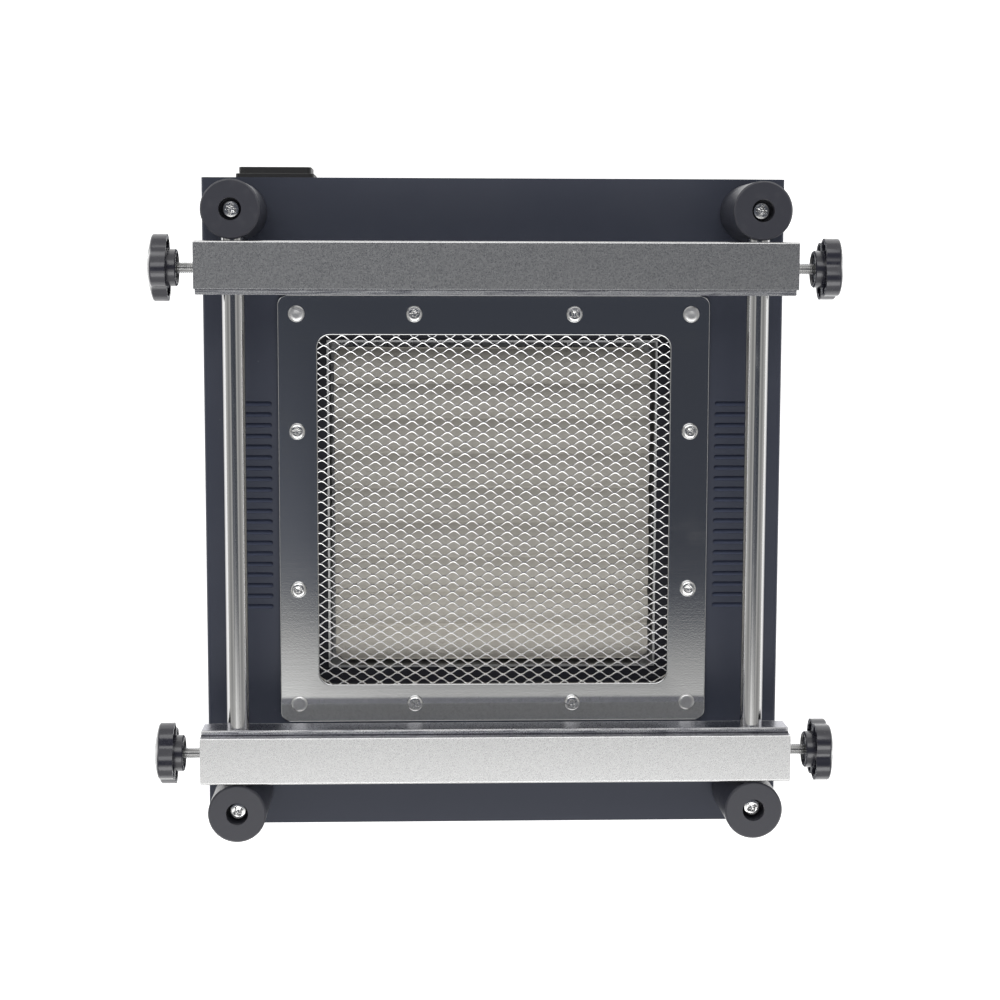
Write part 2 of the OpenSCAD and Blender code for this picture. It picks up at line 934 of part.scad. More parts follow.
module clamp_bar(sy) {
    color([0.74, 0.74, 0.74])
        mirror([0, sy > 0 ? 1 : 0, 0])
            difference() {
                intersection() {
                    translate([0, -bar_outer, bar_z])
                        along_x(bar_l)
                            bar_profile();
                    translate([0, 0, bar_z - 1])
                        linear_extrude(bar_h + 2)
                            bar_plan();
                }
                for (sx = [-1, 1]) {
                    translate([sx * post_x, -bar_outer - 1, rod_axis_z])
                        rotate([-90, 0, 0])
                            cylinder(r = rod_d / 2 + rod_play, h = bar_w + 2);
                    translate([sx * post_x, -bar_mid, rod_axis_z])
                        rotate([0, sx * 90, 0])
                            cylinder(r = stud_d / 2 + stud_play, h = bar_l);
                }
            }
}

// Clamp studs and star knobs
module stud(sx, sy) {
    color([0.6, 0.6, 0.6])
        translate([sx * stud_in, sy * bar_mid, rod_axis_z])
            rotate([0, sx * 90, 0])
                cylinder(d = stud_d, h = stud_out - stud_in);
}

module star_outline() {
    difference() {
        union() {
            circle(knob_core);
            for (k = [0 : lobe_count - 1])
                rotate(k * 360 / lobe_count)
                    translate([lobe_at, 0])
                        circle(lobe_r);
        }
        for (k = [0 : lobe_count - 1])
            rotate((k + 0.5) * 360 / lobe_count)
                translate([flute_at, 0])
                    circle(flute_r);
    }
}

module knob(sx, sy) {
    dome_r = (knob_d * knob_d / 4 + knob_dome * knob_dome) / (2 * knob_dome);
    color([0.06, 0.06, 0.07])
        translate([sx * knob_x, sy * bar_mid, rod_axis_z])
            rotate([0, sx * 90, 0])
                difference() {
                    union() {
                        cylinder(d = hub_d, h = hub_l + 1);
                        translate([0, 0, hub_l])
                            intersection() {
                                linear_extrude(knob_t)
                                    star_outline();
                                rotate_extrude()
                                    intersection() {
                                        translate([0, knob_t - dome_r])
                                            circle(dome_r, $fn = 180);
                                        square([knob_d, knob_t]);
                                    }
                            }
                    }
                    translate([0, 0, -1])
                        cylinder(r = stud_d / 2 + stud_play, h = hub_l + knob_t / 2 + 1 + seam);
                    for (k = [0 : lobe_count - 1])
                        rotate(k * 360 / lobe_count)
                            translate([lobe_at, 0, hub_l - 1])
                                cylinder(r = pocket_r, h = pocket_depth + 1);
                }
}

// Front controls
module display_window() {
    color([0.15, 0.04, 0.04])
        translate([display_x, front_y, controls_z])
            rotate([90, 0, 0]) {
                linear_extrude(lens_t)
                    round_square(display_w + 2 * lens_lip, display_h + 2 * lens_lip, lens_r + lens_lip / 2);
                translate([0, 0, -sheet_t])
                    linear_extrude(sheet_t + lens_t / 2)
                        round_square(display_w - 2 * seam, display_h - 2 * seam, lens_r - seam);
            }
}

module display_module() {
    color([0.1, 0.1, 0.1])
        translate([display_x, pcb_y - module_t / 2, controls_z])
            cube([display_w - 2 * module_margin, module_t, display_h - module_margin], center = true);
}

module control_board() {
    color([0.1, 0.35, 0.2])
        translate([(pcb_left + pcb_right) / 2, pcb_y + pcb_t / 2, controls_z])
            cube([pcb_right - pcb_left, pcb_t, pcb_h], center = true);
}

module board_standoffs() {
    color([0.8, 0.7, 0.4])
        for (x = [pcb_left + standoff_in, pcb_right - standoff_in], sz = [-1, 1])
            translate([x, wall_in, controls_z + sz * (pcb_h / 2 - standoff_in)])
                rotate([-90, 0, 0])
                    cylinder(d = standoff_d, h = board_gap);
}

module tact_switches() {
    pin_l = board_gap - tact_body - (button_back - wall_in) - button_travel - seam;
    color([0.2, 0.2, 0.2])
        for (k = [-1 : 1])
            translate([button_x + k * button_pitch, pcb_y, controls_z])
                rotate([90, 0, 0]) {
                    linear_extrude(tact_body)
                        square(tact_w, center = true);
                    cylinder(d = tact_pin_d, h = tact_body + pin_l);
                }
}

module button(k) {
    back = -button_back;
    flange_back = back + button_stem;
    flange_r = button_d / 2 + button_flange;
    face = -front_y + button_proud;
    color([0.75, 0.75, 0.75])
        translate([button_x + k * button_pitch, 0, controls_z])
            rotate([90, 0, 0])
                rotate_extrude()
                    polygon([
                        [0, back], [stem_d / 2, back], [stem_d / 2, flange_back], [flange_r, flange_back],
                        [flange_r, flange_back + button_flange_t],
                        [button_d / 2, flange_back + button_flange_t], [button_d / 2, face - button_edge],
                        [button_d / 2 - button_edge, face], [0, face]
                    ]);
}

module switch_body() {
    cavity_h = 2 * (rocker_r + press_play);
    color([0.07, 0.07, 0.07])
        translate([switch_x, 0, controls_z])
            difference() {
                union() {
                    along_y(front_y - switch_frame_t, switch_frame_t)
                        round_square(switch_w, switch_h, 1);
                    along_y(front_y - switch_frame_t / 2, switch_depth)
                        square([switch_hole_w - 2 * seam, switch_hole_h - 2 * seam], center = true);
                }
                along_y(front_y - switch_frame_t - 1, switch_frame_t + 1 + switch_cavity)
                    square([rocker_w + 2 * press_play, cavity_h], center = true);
                translate([0, pivot_y, 0])
                    rotate([0, 90, 0])
                        cylinder(
                            d = pivot_d + 2 * pivot_play,
                            h = rocker_w + 2 * (pivot_l + pivot_play),
                            center = true
                        );
            }
}

module rocker_profile() {
    rotate(-rocker_tilt)
        intersection() {
            circle(rocker_r);
            polygon([
                [-rocker_front, 0],
                [-rocker_front - rocker_dish, rocker_r + 1],
                [rocker_back, rocker_r + 1], [rocker_back, -rocker_r - 1],
                [-rocker_front - rocker_dish, -rocker_r - 1]
            ]);
        }
}

module switch_rocker() {
    color([0.55, 0.08, 0.07])
        translate([switch_x, pivot_y, controls_z]) {
            along_x(rocker_w)
                rocker_profile();
            rotate([0, 90, 0])
                cylinder(d = pivot_d, h = rocker_w + 2 * pivot_l, center = true);
        }
}

// Mains inlet in the back wall
module socket_outline() {
    polygon([
        [-socket_w / 2, -socket_h / 2], [socket_w / 2, -socket_h / 2],
        [socket_w / 2, socket_h / 2 - socket_cut], [socket_w / 2 - socket_cut, socket_h / 2],
        [-socket_w / 2 + socket_cut, socket_h / 2], [-socket_w / 2, socket_h / 2 - socket_cut]
    ]);
}

// Copies of the children at the two live pins and the earth pin
module at_pins() {
    for (k = [-1 : 1])
        translate([k * socket_pin_step, 0, k == 0 ? earth_lift : -pin_drop])
            children();
}

module inlet_body() {
    color([0.07, 0.07, 0.07])
        translate([inlet_x, 0, inlet_z])
            difference() {
                union() {
                    along_y(back_y, inlet_flange)
                        round_square(inlet_w, inlet_h, inlet_r);
                    along_y(back_y + inlet_flange / 2, inlet_flange / 2 + inlet_collar)
                        round_square(inlet_body_w, inlet_body_h, inlet_r);
                    along_y(back_y - inlet_depth, inlet_depth + inlet_flange / 2)
                        square([inlet_body_w, inlet_body_h], center = true);
                }
                along_y(inlet_face_y - socket_depth, socket_depth + 1)
                    socket_outline();
                at_pins()
                    along_y(back_y - inlet_depth - 1, inlet_depth)
                        square([socket_pin_t, socket_pin_w], center = true);
            }
}

module inlet_pins() {
    tail_y = back_y - inlet_depth - pin_tail;
    color([0.78, 0.68, 0.4])
        translate([inlet_x, 0, inlet_z])
            at_pins()
                along_y(tail_y, inlet_face_y - pin_recess - tail_y)
                    square([socket_pin_t, socket_pin_w], center = true);
}

// Parts on the floor behind the heater
module terminal_block() {
    block_w = terminal_poles * terminal_pitch;
    color([0.9, 0.9, 0.85])
        translate([terminal_x, floor_part_y, floor_z])
            difference() {
                linear_extrude(terminal_h)
                    square([block_w, terminal_d], center = true);
                for (k = [0 : terminal_poles - 1], sy = [-1, 1])
                    translate([(k + 0.5) * terminal_pitch - block_w / 2, sy * terminal_d / 2, terminal_h / 2])
                        linear_extrude(terminal_h)
                            square([terminal_cut_w, 2 * terminal_cut_d], center = true);
            }
}

module solid_state_relay() {
    color([0.85, 0.85, 0.82])
        translate([relay_x, floor_part_y, floor_z]) {
            linear_extrude(relay_base_t)
                square([relay_w, relay_d], center = true);
            linear_extrude(relay_h)
                round_square(relay_w - 2 * relay_ear, relay_d, relay_r);
        }
}

module earth_stud() {
    color([0.75, 0.7, 0.5])
        translate([earth_x, floor_part_y, pan_z]) {
            translate([0, 0, -earth_head_h])
                cylinder(d = earth_head_d, h = earth_head_h);
            translate([0, 0, -earth_head_h / 2])
                cylinder(d = earth_d, h = earth_l);
        }
}

module earth_nut() {
    color([0.75, 0.7, 0.5])
        translate([earth_x, floor_part_y, floor_z])
            hex_nut(post_nut_af, post_nut_t, earth_d);
}

// Feet and outer screws
module feet() {
    color([0.1, 0.1, 0.1])
        at_spots(foot_spots, 0)
            rotate_extrude()
                polygon([
                    [lip_screw_d / 2 + screw_play, foot_h / 2], [lip_screw_d, foot_h / 2],
                    [lip_screw_d + foot_flare, 0], [foot_d / 2 - foot_taper, 0], [foot_d / 2, foot_h],
                    [lip_screw_d / 2 + screw_play, foot_h]
                ]);
}

module foot_screws() {
    color([0.7, 0.7, 0.7])
        at_spots(foot_spots, foot_h / 2)
            rotate([180, 0, 0])
                pan_screw(foot_head_d, foot_head_h, lip_screw_d, foot_h / 2 + sheet_t + nut_t + screw_tail);
}

module foot_nuts() {
    color([0.7, 0.7, 0.7])
        at_spots(foot_spots, floor_z)
            hex_nut(nut_af, nut_t, lip_screw_d);
}

module cover_screws() {
    color([0.2, 0.2, 0.2])
        for (sx = [-1, 1], sy = [-1, 1])
            translate([sx * side_x, sy * lip_screw_y, lip_screw_z])
                rotate([0, sx * 90, 0])
                    pan_screw(fastener_head, fastener_head_h, lip_screw_d, 2 * sheet_t + seam + cover_tail);
}

top_cover();
base_pan();
heater_well();
reflector_tray();
ceramic_heater();
heater_clip();
tray_brackets();
insulation_board();
thermocouple();
window_plate();
grille();
plate_screws();
plate_nuts();
plate_rivets();
rod(-1);  // rod_left
rod(1);  // rod_right
post(-1, 1);  // post_rear_left
post(1, 1);  // post_rear_right
post(-1, -1);  // post_front_left
post(1, -1);  // post_front_right
post_screws();
post_nuts();
clamp_bar(1);  // rear_bar
clamp_bar(-1);  // front_bar
stud(-1, 1);  // stud_rear_left
stud(1, 1);  // stud_rear_right
stud(-1, -1);  // stud_front_left
stud(1, -1);  // stud_front_right
knob(-1, 1);  // knob_rear_left
knob(1, 1);  // knob_rear_right
knob(-1, -1);  // knob_front_left
knob(1, -1);  // knob_front_right
display_window();
display_module();
control_board();
board_standoffs();
tact_switches();
button(-1);  // button_set
button(0);  // button_up
button(1);  // button_down
switch_body();
switch_rocker();
inlet_body();
inlet_pins();
terminal_block();
solid_state_relay();
earth_stud();
earth_nut();
feet();
foot_screws();
foot_nuts();
cover_screws();
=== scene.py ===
"""Looks of a bench preheater for circuit boards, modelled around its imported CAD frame."""

import sys
import logging
import math
from collections.abc import Callable, Iterator, Sequence
from contextlib import contextmanager
from dataclasses import dataclass, field
from enum import Enum
from typing import Any

import bmesh
import bpy
from mathutils import Matrix, Vector


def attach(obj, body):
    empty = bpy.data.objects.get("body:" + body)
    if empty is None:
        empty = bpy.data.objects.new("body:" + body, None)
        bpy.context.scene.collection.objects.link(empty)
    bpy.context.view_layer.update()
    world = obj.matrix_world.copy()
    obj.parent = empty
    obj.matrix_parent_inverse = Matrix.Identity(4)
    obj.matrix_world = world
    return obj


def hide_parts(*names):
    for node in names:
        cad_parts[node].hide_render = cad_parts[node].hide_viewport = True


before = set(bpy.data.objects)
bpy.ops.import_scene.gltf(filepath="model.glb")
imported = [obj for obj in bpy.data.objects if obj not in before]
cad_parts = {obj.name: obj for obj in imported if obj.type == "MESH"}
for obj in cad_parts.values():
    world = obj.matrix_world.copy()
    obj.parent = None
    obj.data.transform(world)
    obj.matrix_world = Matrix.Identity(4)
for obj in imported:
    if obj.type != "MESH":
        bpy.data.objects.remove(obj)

LOG = logging.getLogger("preheater")
MM = 0.001
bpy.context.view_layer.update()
# Slack in millimetres, and least share of a direction, when edges and faces are picked by place
NEAR = 0.1
FACING = 0.9
# How far a shape that is cut out or joined on reaches past a face, in millimetres
OVER = 1.0
Colour = tuple[float, float, float]
Point = tuple[float, float, float]
Test = Callable[[Vector, Vector], bool]


class Direction(Enum):
    """A direction on the preheater, as a sign along one axis."""

    @property
    def word(self) -> str:
        """The direction's name in the CAD nodes."""
        return self.name.lower()


class Side(Direction):
    """Left and right of the preheater, as the sign of X."""

    LEFT = -1
    RIGHT = 1


class End(Direction):
    """Front and rear of the preheater, as the sign of Y."""

    FRONT = -1
    REAR = 1


class Element(Enum):
    """What a selection in edit mode picks."""

    VERT = "VERT"
    EDGE = "EDGE"
    FACE = "FACE"


@dataclass(frozen=True)
class BarSize:
    """Sizes of a clamp bar in millimetres, for its shape and its finish."""

    length: float = 214.0
    outer: float = 97.5
    width: float = 19.0
    top_w: float = 17.0
    foot_z: float = 89.0
    height: float = 16.0
    ledge_h: float = 11.0

    @property
    def inner(self) -> float:
        """How far the inner face is from the middle of the preheater."""
        return self.outer - self.width

    @property
    def middle(self) -> float:
        """How far the bar's middle is from the middle of the preheater."""
        return self.outer - self.width / 2

    @property
    def step(self) -> float:
        """How far the step's wall is from the middle of the preheater."""
        return self.outer - self.top_w

    @property
    def ledge_z(self) -> float:
        """Height of the ledge inside the step."""
        return self.foot_z + self.ledge_h

    @property
    def top_z(self) -> float:
        """Height of the top."""
        return self.foot_z + self.height


BAR = BarSize()


@dataclass(frozen=True)
class ScrewSize:
    """Sizes of a pan-head screw in millimetres."""

    head_r: float
    head_h: float
    shank_r: float
    length: float
    tip: float = 0.4
    edge: float = 0.07


def grey(level: float) -> Colour:
    """A colour without a tint."""
    return (level, level, level)


def operator(operation: str, swapped: bool = False) -> Callable[..., "Signal"]:
    """Makes an operator of Signal, which adds one Math node.

    Args:
        operation: The Math node's operation.
        swapped: Whether the other value comes first, as in 1 - mask.

    Returns:
        The method.
    """

    def method(self: "Signal", other: Any = 0.0) -> "Signal":
        """Adds the node."""
        first, second = (other, self) if swapped else (self, other)
        return self.tree.node("ShaderNodeMath", {"operation": operation}, {0: first, 1: second})

    return method


class Signal:
    """A shader value. Python's operators on it add Math nodes."""

    __add__, __radd__ = operator("ADD"), operator("ADD", True)
    __sub__, __rsub__ = operator("SUBTRACT"), operator("SUBTRACT", True)
    __mul__, __rmul__ = operator("MULTIPLY"), operator("MULTIPLY", True)
    __abs__ = operator("ABSOLUTE")
    most = operator("MAXIMUM")
    pingpong = operator("PINGPONG")

    def __init__(self, tree: "Tree", socket: bpy.types.NodeSocket) -> None:
        """Wraps an output socket of a tree."""
        self.tree = tree
        self.socket = socket

    def graph(self, *stops: tuple[float, float]) -> "Signal":
        """A grey ramp over this value, from 0 to 1, through stops of place and level."""
        shades = [(place, (level, level, level, 1.0)) for place, level in stops]
        return self.tree.node("ShaderNodeValToRGB", {"stops": shades}, {0: self})

    def step(self, low: float, high: float) -> "Signal":
        """A smooth rise from 0 to 1.

        Args:
            low: Value at which the rise starts.
            high: Value at which it ends, which may be the lower of the two.

        Returns:
            The smooth step.
        """
        settings = {"interpolation_type": "SMOOTHSTEP"}
        if low < high:
            return self.tree.node("ShaderNodeMapRange", settings, {0: self, 1: low, 2: high, 3: 0.0, 4: 1.0})
        return self.tree.node("ShaderNodeMapRange", settings, {0: self, 1: high, 2: low, 3: 1.0, 4: 0.0})

    def rise(self, low: float, high: float) -> "Signal":
        """A smooth rise between two places in millimetres, on a value in metres."""
        return self.step(low * MM, high * MM)


class Tree:
    """A node tree, with one method that adds any node to it."""

    def __init__(self, nodes: bpy.types.NodeTree) -> None:
        """Starts from an empty tree."""
        self.tree = nodes
        self.tree.nodes.clear()

    def node(
        self, kind: str, settings: dict[str, Any] | None = None, inputs: dict[Any, Any] | None = None,
        output: Any = 0,
    ) -> Signal:
        """Adds a node.

        Args:
            kind: Blender's name of the node type.
            settings: The node's own settings, or a ramp's stops, set first.
            inputs: Values or signals by socket.
            output: Which output socket to return.

        Returns:
            The output as a signal.
        """
        made = self.tree.nodes.new(kind)
        for key, value in (settings or {}).items():
            if key == "stops":
                ramp = made.color_ramp
                ramp.elements[0].position, ramp.elements[0].color = value[0]
                ramp.elements[-1].position, ramp.elements[-1].color = value[-1]
                for place, colour in value[1:-1]:
                    ramp.elements.new(place).color = colour
            else:
                setattr(made, key, value)
        for key, value in (inputs or {}).items():
            self.feed(made.inputs[key], value)
        return Signal(self, made.outputs[output])

    def feed(self, socket: bpy.types.NodeSocket, value: Any) -> None:
        """Links a signal to a socket, or sets the socket's own value."""
        if isinstance(value, Signal):
            self.tree.links.new(value.socket, socket)
        elif isinstance(value, tuple) and len(value) == 3 and len(socket.default_value) == 4:
            socket.default_value = (*value, 1.0)
        else:
            socket.default_value = value

    def place(self, stretch: Point = (1, 1, 1), turn: Point = (0, 0, 0)) -> Signal:
        """Object coordinates, stretched and turned."""
        spot = self.node("ShaderNodeTexCoord", output="Object")
        return self.node("ShaderNodeMapping", inputs={"Vector": spot, "Scale": stretch, "Rotation": turn})

    def axes(self, source: str = "Object") -> list[Signal]:
        """X, Y and Z of the surface point in metres, or of the direction in the sky from Generated."""
        split = self.node("ShaderNodeSeparateXYZ", inputs={0: self.node("ShaderNodeTexCoord", output=source)})
        return [Signal(self, output) for output in split.socket.node.outputs]

    def noise(
        self, size_mm: float, detail: float = 2.0, stretch: Point = (1, 1, 1), turn: Point = (0, 0, 0)
    ) -> Signal:
        """Noise with patches of about a size.

        Args:
            size_mm: Size of a patch in millimetres.
            detail: Octaves of finer noise.
            stretch: Scale along each axis.
            turn: Rotation of the pattern.

        Returns:
            The noise, about 0.5 on average.
        """
        inputs = {"Vector": self.place(stretch, turn), "Scale": 1.0 / (size_mm * MM), "Detail": detail}
        return self.node("ShaderNodeTexNoise", inputs=inputs)

    def blend(self, factor: Any, first: Any, second: Any) -> Signal:
        """A colour between two, by a factor."""
        settings = {"data_type": "RGBA"}
        return self.node("ShaderNodeMix", settings, {0: factor, 6: first, 7: second}, output=2)


class Surface(Tree):
    """The node tree of one material, ending in a Principled shader."""

    def __init__(self, name: str) -> None:
        """Makes the material with its shader and output."""
        self.material = bpy.data.materials.new(name)
        self.material.use_nodes = True
        super().__init__(self.material.node_tree)
        out = self.tree.nodes.new("ShaderNodeOutputMaterial")
        self.shader = self.tree.nodes.new("ShaderNodeBsdfPrincipled")
        self.tree.links.new(self.shader.outputs[0], out.inputs["Surface"])

    def set(self, **inputs: Any) -> None:
        """Feeds the shader's sockets, named with underscores for spaces."""
        for key, value in inputs.items():
            self.feed(self.shader.inputs[key.replace("_", " ")], value)

    def relief(self, height: Signal, depth_mm: float, strength: float = 1.0) -> None:
        """Raises the surface by a height signal, as a bump of so many millimetres."""
        inputs = {"Height": height, "Distance": depth_mm * MM, "Strength": strength}
        self.set(Normal=self.node("ShaderNodeBump", inputs=inputs))


@dataclass(frozen=True)
class Finish:
    """A surface finish, which paints one material at its first use."""

    name: str
    colour: Colour

    def material(self) -> bpy.types.Material:
        """The finish's material."""
        found = bpy.data.materials.get(self.name)
        if found is None:
            surface = Surface(self.name)
            self.paint(surface)
            found = surface.material
        return found

    def paint(self, surface: Surface) -> None:
        """Fills in the shader."""
        raise NotImplementedError


@dataclass(frozen=True)
class PowderCoat(Finish):
    """Semi-matt paint on sheet steel, with a fine grain, a little dust and, where so wanted, fins in its
    hollows painted lighter as painted light against their shade.
    """

    rub: Colour
    roughness: float
    gloss: float = 0.4
    hollow: tuple[float, float] | None = None
    fin_painted_light_gain: float = 2.4

    def paint(self, surface: Surface) -> None:
        """Fills in the shader."""
        cloud = surface.noise(38, detail=3)
        grain = surface.noise(0.5)
        dust = surface.noise(1.6, detail=1).step(0.76, 0.84) * surface.noise(19).step(0.5, 0.62)
        base = surface.blend(cloud.step(0.35, 0.7), self.colour, self.rub)
        # The fins in the louvre hollows are painted lighter: painted light against the shade that falls in
        # the hollows.
        if self.hollow:
            reach, top = self.hollow
            across, _, up = surface.axes()
            painted_fin_light = abs(across).rise(reach + 1, reach) * up.rise(top, top - 0.3)
            base = surface.blend(painted_fin_light, base, tuple(self.fin_painted_light_gain * level for level in self.colour))
        surface.set(
            Base_Color=surface.blend(dust * 0.12, base, (0.35, 0.35, 0.36)),
            Roughness=self.roughness + (cloud - 0.5) * 0.14 + (grain - 0.5) * 0.1,
            Specular_IOR_Level=self.gloss,
        )
        surface.relief(grain, 0.02, 0.5)


@dataclass(frozen=True)
class PolishedSheet(Finish):
    """Bright stainless sheet with a fine grain, faint rolling lines and finger marks."""

    roughness: float

    def paint(self, surface: Surface) -> None:
        """Fills in the shader."""
        lines = surface.noise(0.4, stretch=(0.02, 1, 1))
        marks = surface.noise(14, detail=4).step(0.56, 0.74)
        specks = surface.noise(0.9, detail=1).step(0.8, 0.86) * surface.noise(11).step(0.48, 0.6)
        base = surface.blend(marks * 0.25, self.colour, (0.5, 0.5, 0.49))
        surface.set(
            Base_Color=surface.blend(specks * 0.5, base, (0.75, 0.75, 0.74)),
            Metallic=1.0,
            Roughness=self.roughness + (lines - 0.5) * 0.04 + marks * 0.03 + specks * 0.3,
        )
        surface.relief(surface.noise(0.5) + lines * 0.4, 0.005)


@dataclass(frozen=True)
class BareSteel(Finish):
    """Plated or bare steel with a fine mottled gloss."""

    shade: Colour
    roughness: float
    grain_mm: float = 0.6

    def paint(self, surface: Surface) -> None:
        """Fills in the shader."""
        cloud = surface.noise(5, detail=3)
        grain = surface.noise(self.grain_mm)
        surface.set(
            Base_Color=surface.blend(cloud.step(0.35, 0.7), self.colour, self.shade),
            Metallic=1.0,
            Roughness=self.roughness + (grain - 0.5) * 0.16 + (cloud - 0.5) * 0.08,
        )
        surface.relief(grain, 0.008, 0.5)


@dataclass(frozen=True)
class ExpandedSteel(Finish):
    """Bright strands of expanded metal, with a painted highlight on their crests, painted shade in the
    valleys between them, and an even painted highlight in front.
    """

    valley: Colour
    crest_z: float
    painted_highlight_y: float
    roughness: float
    painted_highlight_run: float = 12.0

    def paint(self, surface: Surface) -> None:
        """Fills in the shader."""
        _, along, up = surface.axes()
        grain = surface.noise(0.4)
        # Crests are painted bright and valleys darker, a painted highlight and painted shade; towards the
        # front all of the strand is painted bright, a painted highlight.
        crest = up.rise(self.crest_z - 0.5, self.crest_z - 0.12)
        painted_front_highlight = along.rise(self.painted_highlight_y + self.painted_highlight_run, self.painted_highlight_y - self.painted_highlight_run)
        surface.set(
            Base_Color=surface.blend(crest.most(painted_front_highlight), self.valley, self.colour),
            Metallic=1.0,
            Roughness=self.roughness + (grain - 0.5) * 0.16,
        )
        surface.relief(grain, 0.008, 0.5)


@dataclass(frozen=True)
class HardChrome(Finish):
    """Ground and chromed rod, with faint lines along it."""

    roughness: float

    def paint(self, surface: Surface) -> None:
        """Fills in the shader."""
        lines = surface.noise(0.35, stretch=(1, 0.012, 1))
        wear = surface.noise(6, detail=3, stretch=(1, 0.3, 1)).step(0.58, 0.78)
        surface.set(
            Base_Color=surface.blend(wear * 0.5, self.colour, (0.62, 0.62, 0.61)),
            Metallic=1.0,
            Specular_Tint=(0.3, 0.3, 0.31),
            Roughness=self.roughness + (lines - 0.5) * 0.06 + wear * 0.08,
        )
        surface.relief(lines, 0.003, 0.4)


@dataclass(frozen=True)
class BlastedBar(Finish):
    """Bead-blasted aluminium, with milling marks along the step, a painted highlight on the step's top edge,
    painted shade in the ledge's corner by the wall, a plain inner face and an underside painted pale as
    painted light.
    """

    fleck: Colour
    milled: Colour
    bright: Colour
    shade: Colour
    roughness: float

    def paint(self, surface: Surface) -> None:
        """Fills in the shader."""
        _, along, up = surface.axes()
        depth = abs(along)
        inner = depth.rise(BAR.inner + 0.12, BAR.inner)
        worked = depth.rise(BAR.step + 0.4, BAR.step + 0.1)
        wall = up.rise(BAR.ledge_z + 0.1, BAR.ledge_z + 0.5)
        # The top edge of the step is painted bright: a painted highlight.
        painted_brow_highlight = up.rise(BAR.top_z - 0.7, BAR.top_z - 0.4)
        # The underside is painted pale and made less metallic: painted light on a side that falls in shade.
        painted_under_light = up.rise(BAR.foot_z + 0.4, BAR.foot_z + 0.1)
        pits = surface.noise(0.4, detail=4)
        streaks = surface.noise(0.55, detail=4, stretch=(0.06, 1, 1), turn=(0, 0, 0.02))
        blasted = surface.blend(pits.step(0.34, 0.66), self.colour, self.fleck)
        lines = surface.blend(streaks.step(0.45, 0.62), self.shade, self.milled)
        scored = surface.blend(painted_brow_highlight, lines, self.bright)
        rough = surface.blend(streaks.step(0.32, 0.56), self.milled, self.bright)
        # The ledge next to the step's wall gets the shade colour: painted shade in the corner.
        corner = depth.rise(BAR.step - 0.6, BAR.step - 0.2) * (1 - wall)
        ledge = surface.blend(corner, rough, self.shade)
        cut = surface.blend(inner, surface.blend(wall, ledge, scored), self.milled)
        surface.set(
            Base_Color=surface.blend(painted_under_light, surface.blend(worked, blasted, cut), self.bright),
            Metallic=1 - painted_under_light * 0.8,
            Roughness=self.roughness + (pits - 0.5) * 0.15,
        )
        height = pits * (1 - worked) + streaks * worked * (1 - inner)
        surface.relief(height, 0.012, 0.6)


@dataclass(frozen=True)
class FiredCeramic(Finish):
    """Matt fired ceramic or fibre board with specks and faint stains, and where so wanted painted light that
    makes it paler in front.
    """

    stain: Colour
    speck: Colour
    pale: Colour | None = None
    painted_light_from: float = -5.0
    pale_to: float = -62.0

    def paint(self, surface: Surface) -> None:
        """Fills in the shader."""
        stains = surface.noise(17, detail=4).step(0.4, 0.75)
        specks = surface.noise(0.9).step(0.66, 0.78)
        grain = surface.noise(0.4, detail=3)
        base = surface.blend(stains * 0.6, self.colour, self.stain)
        # Painted light: the colour turns paler towards the front, against the shade that falls there.
        if self.pale:
            _, along, _ = surface.axes()
            base = surface.blend(along.rise(self.painted_light_from, self.pale_to), base, self.pale)
        surface.set(
            Base_Color=surface.blend(specks * 0.5, base, self.speck),
            Roughness=0.62 + (grain - 0.5) * 0.2,
        )
        surface.relief(grain, 0.03, 0.5)


@dataclass(frozen=True)
class Moulded(Finish):
    """Moulded plastic or rubber with a fine grain and handling marks."""

    worn: Colour
    roughness: float
    coat: float = 0.0
    grain_mm: float = 0.35

    def paint(self, surface: Surface) -> None:
        """Fills in the shader."""
        grain = surface.noise(self.grain_mm)
        marks = surface.noise(4, detail=4).step(0.5, 0.78)
        surface.set(
            Base_Color=surface.blend(marks, self.colour, self.worn),
            Roughness=self.roughness + marks * 0.1 + (grain - 0.5) * 0.12,
            Coat_Weight=self.coat,
            Coat_Roughness=0.12,
        )
        surface.relief(grain, 0.012, 0.4)


@dataclass(frozen=True)
class Laminate(Finish):
    """Circuit board with solder resist over faint tracks."""

    track: Colour
    pitch: float = 2.54

    def paint(self, surface: Surface) -> None:
        """Fills in the shader."""
        across, _, up = surface.axes()
        rows = self.comb(up) * surface.noise(9, detail=1, stretch=(1, 1, 0.4)).step(0.48, 0.52)
        columns = self.comb(across) * surface.noise(9, detail=1, stretch=(0.4, 1, 1)).step(0.5, 0.54)
        tracks = rows + columns - rows * columns
        surface.set(
            Base_Color=surface.blend(tracks, self.colour, self.track),
            Roughness=0.35 + (surface.noise(0.8) - 0.5) * 0.2,
        )
        surface.relief(tracks, 0.03, 0.6)

    def comb(self, axis: Signal) -> Signal:
        """Narrow lines along an axis, at the tracks' pitch."""
        return axis.pingpong(self.pitch * MM / 2).rise(0.4, 0.2)


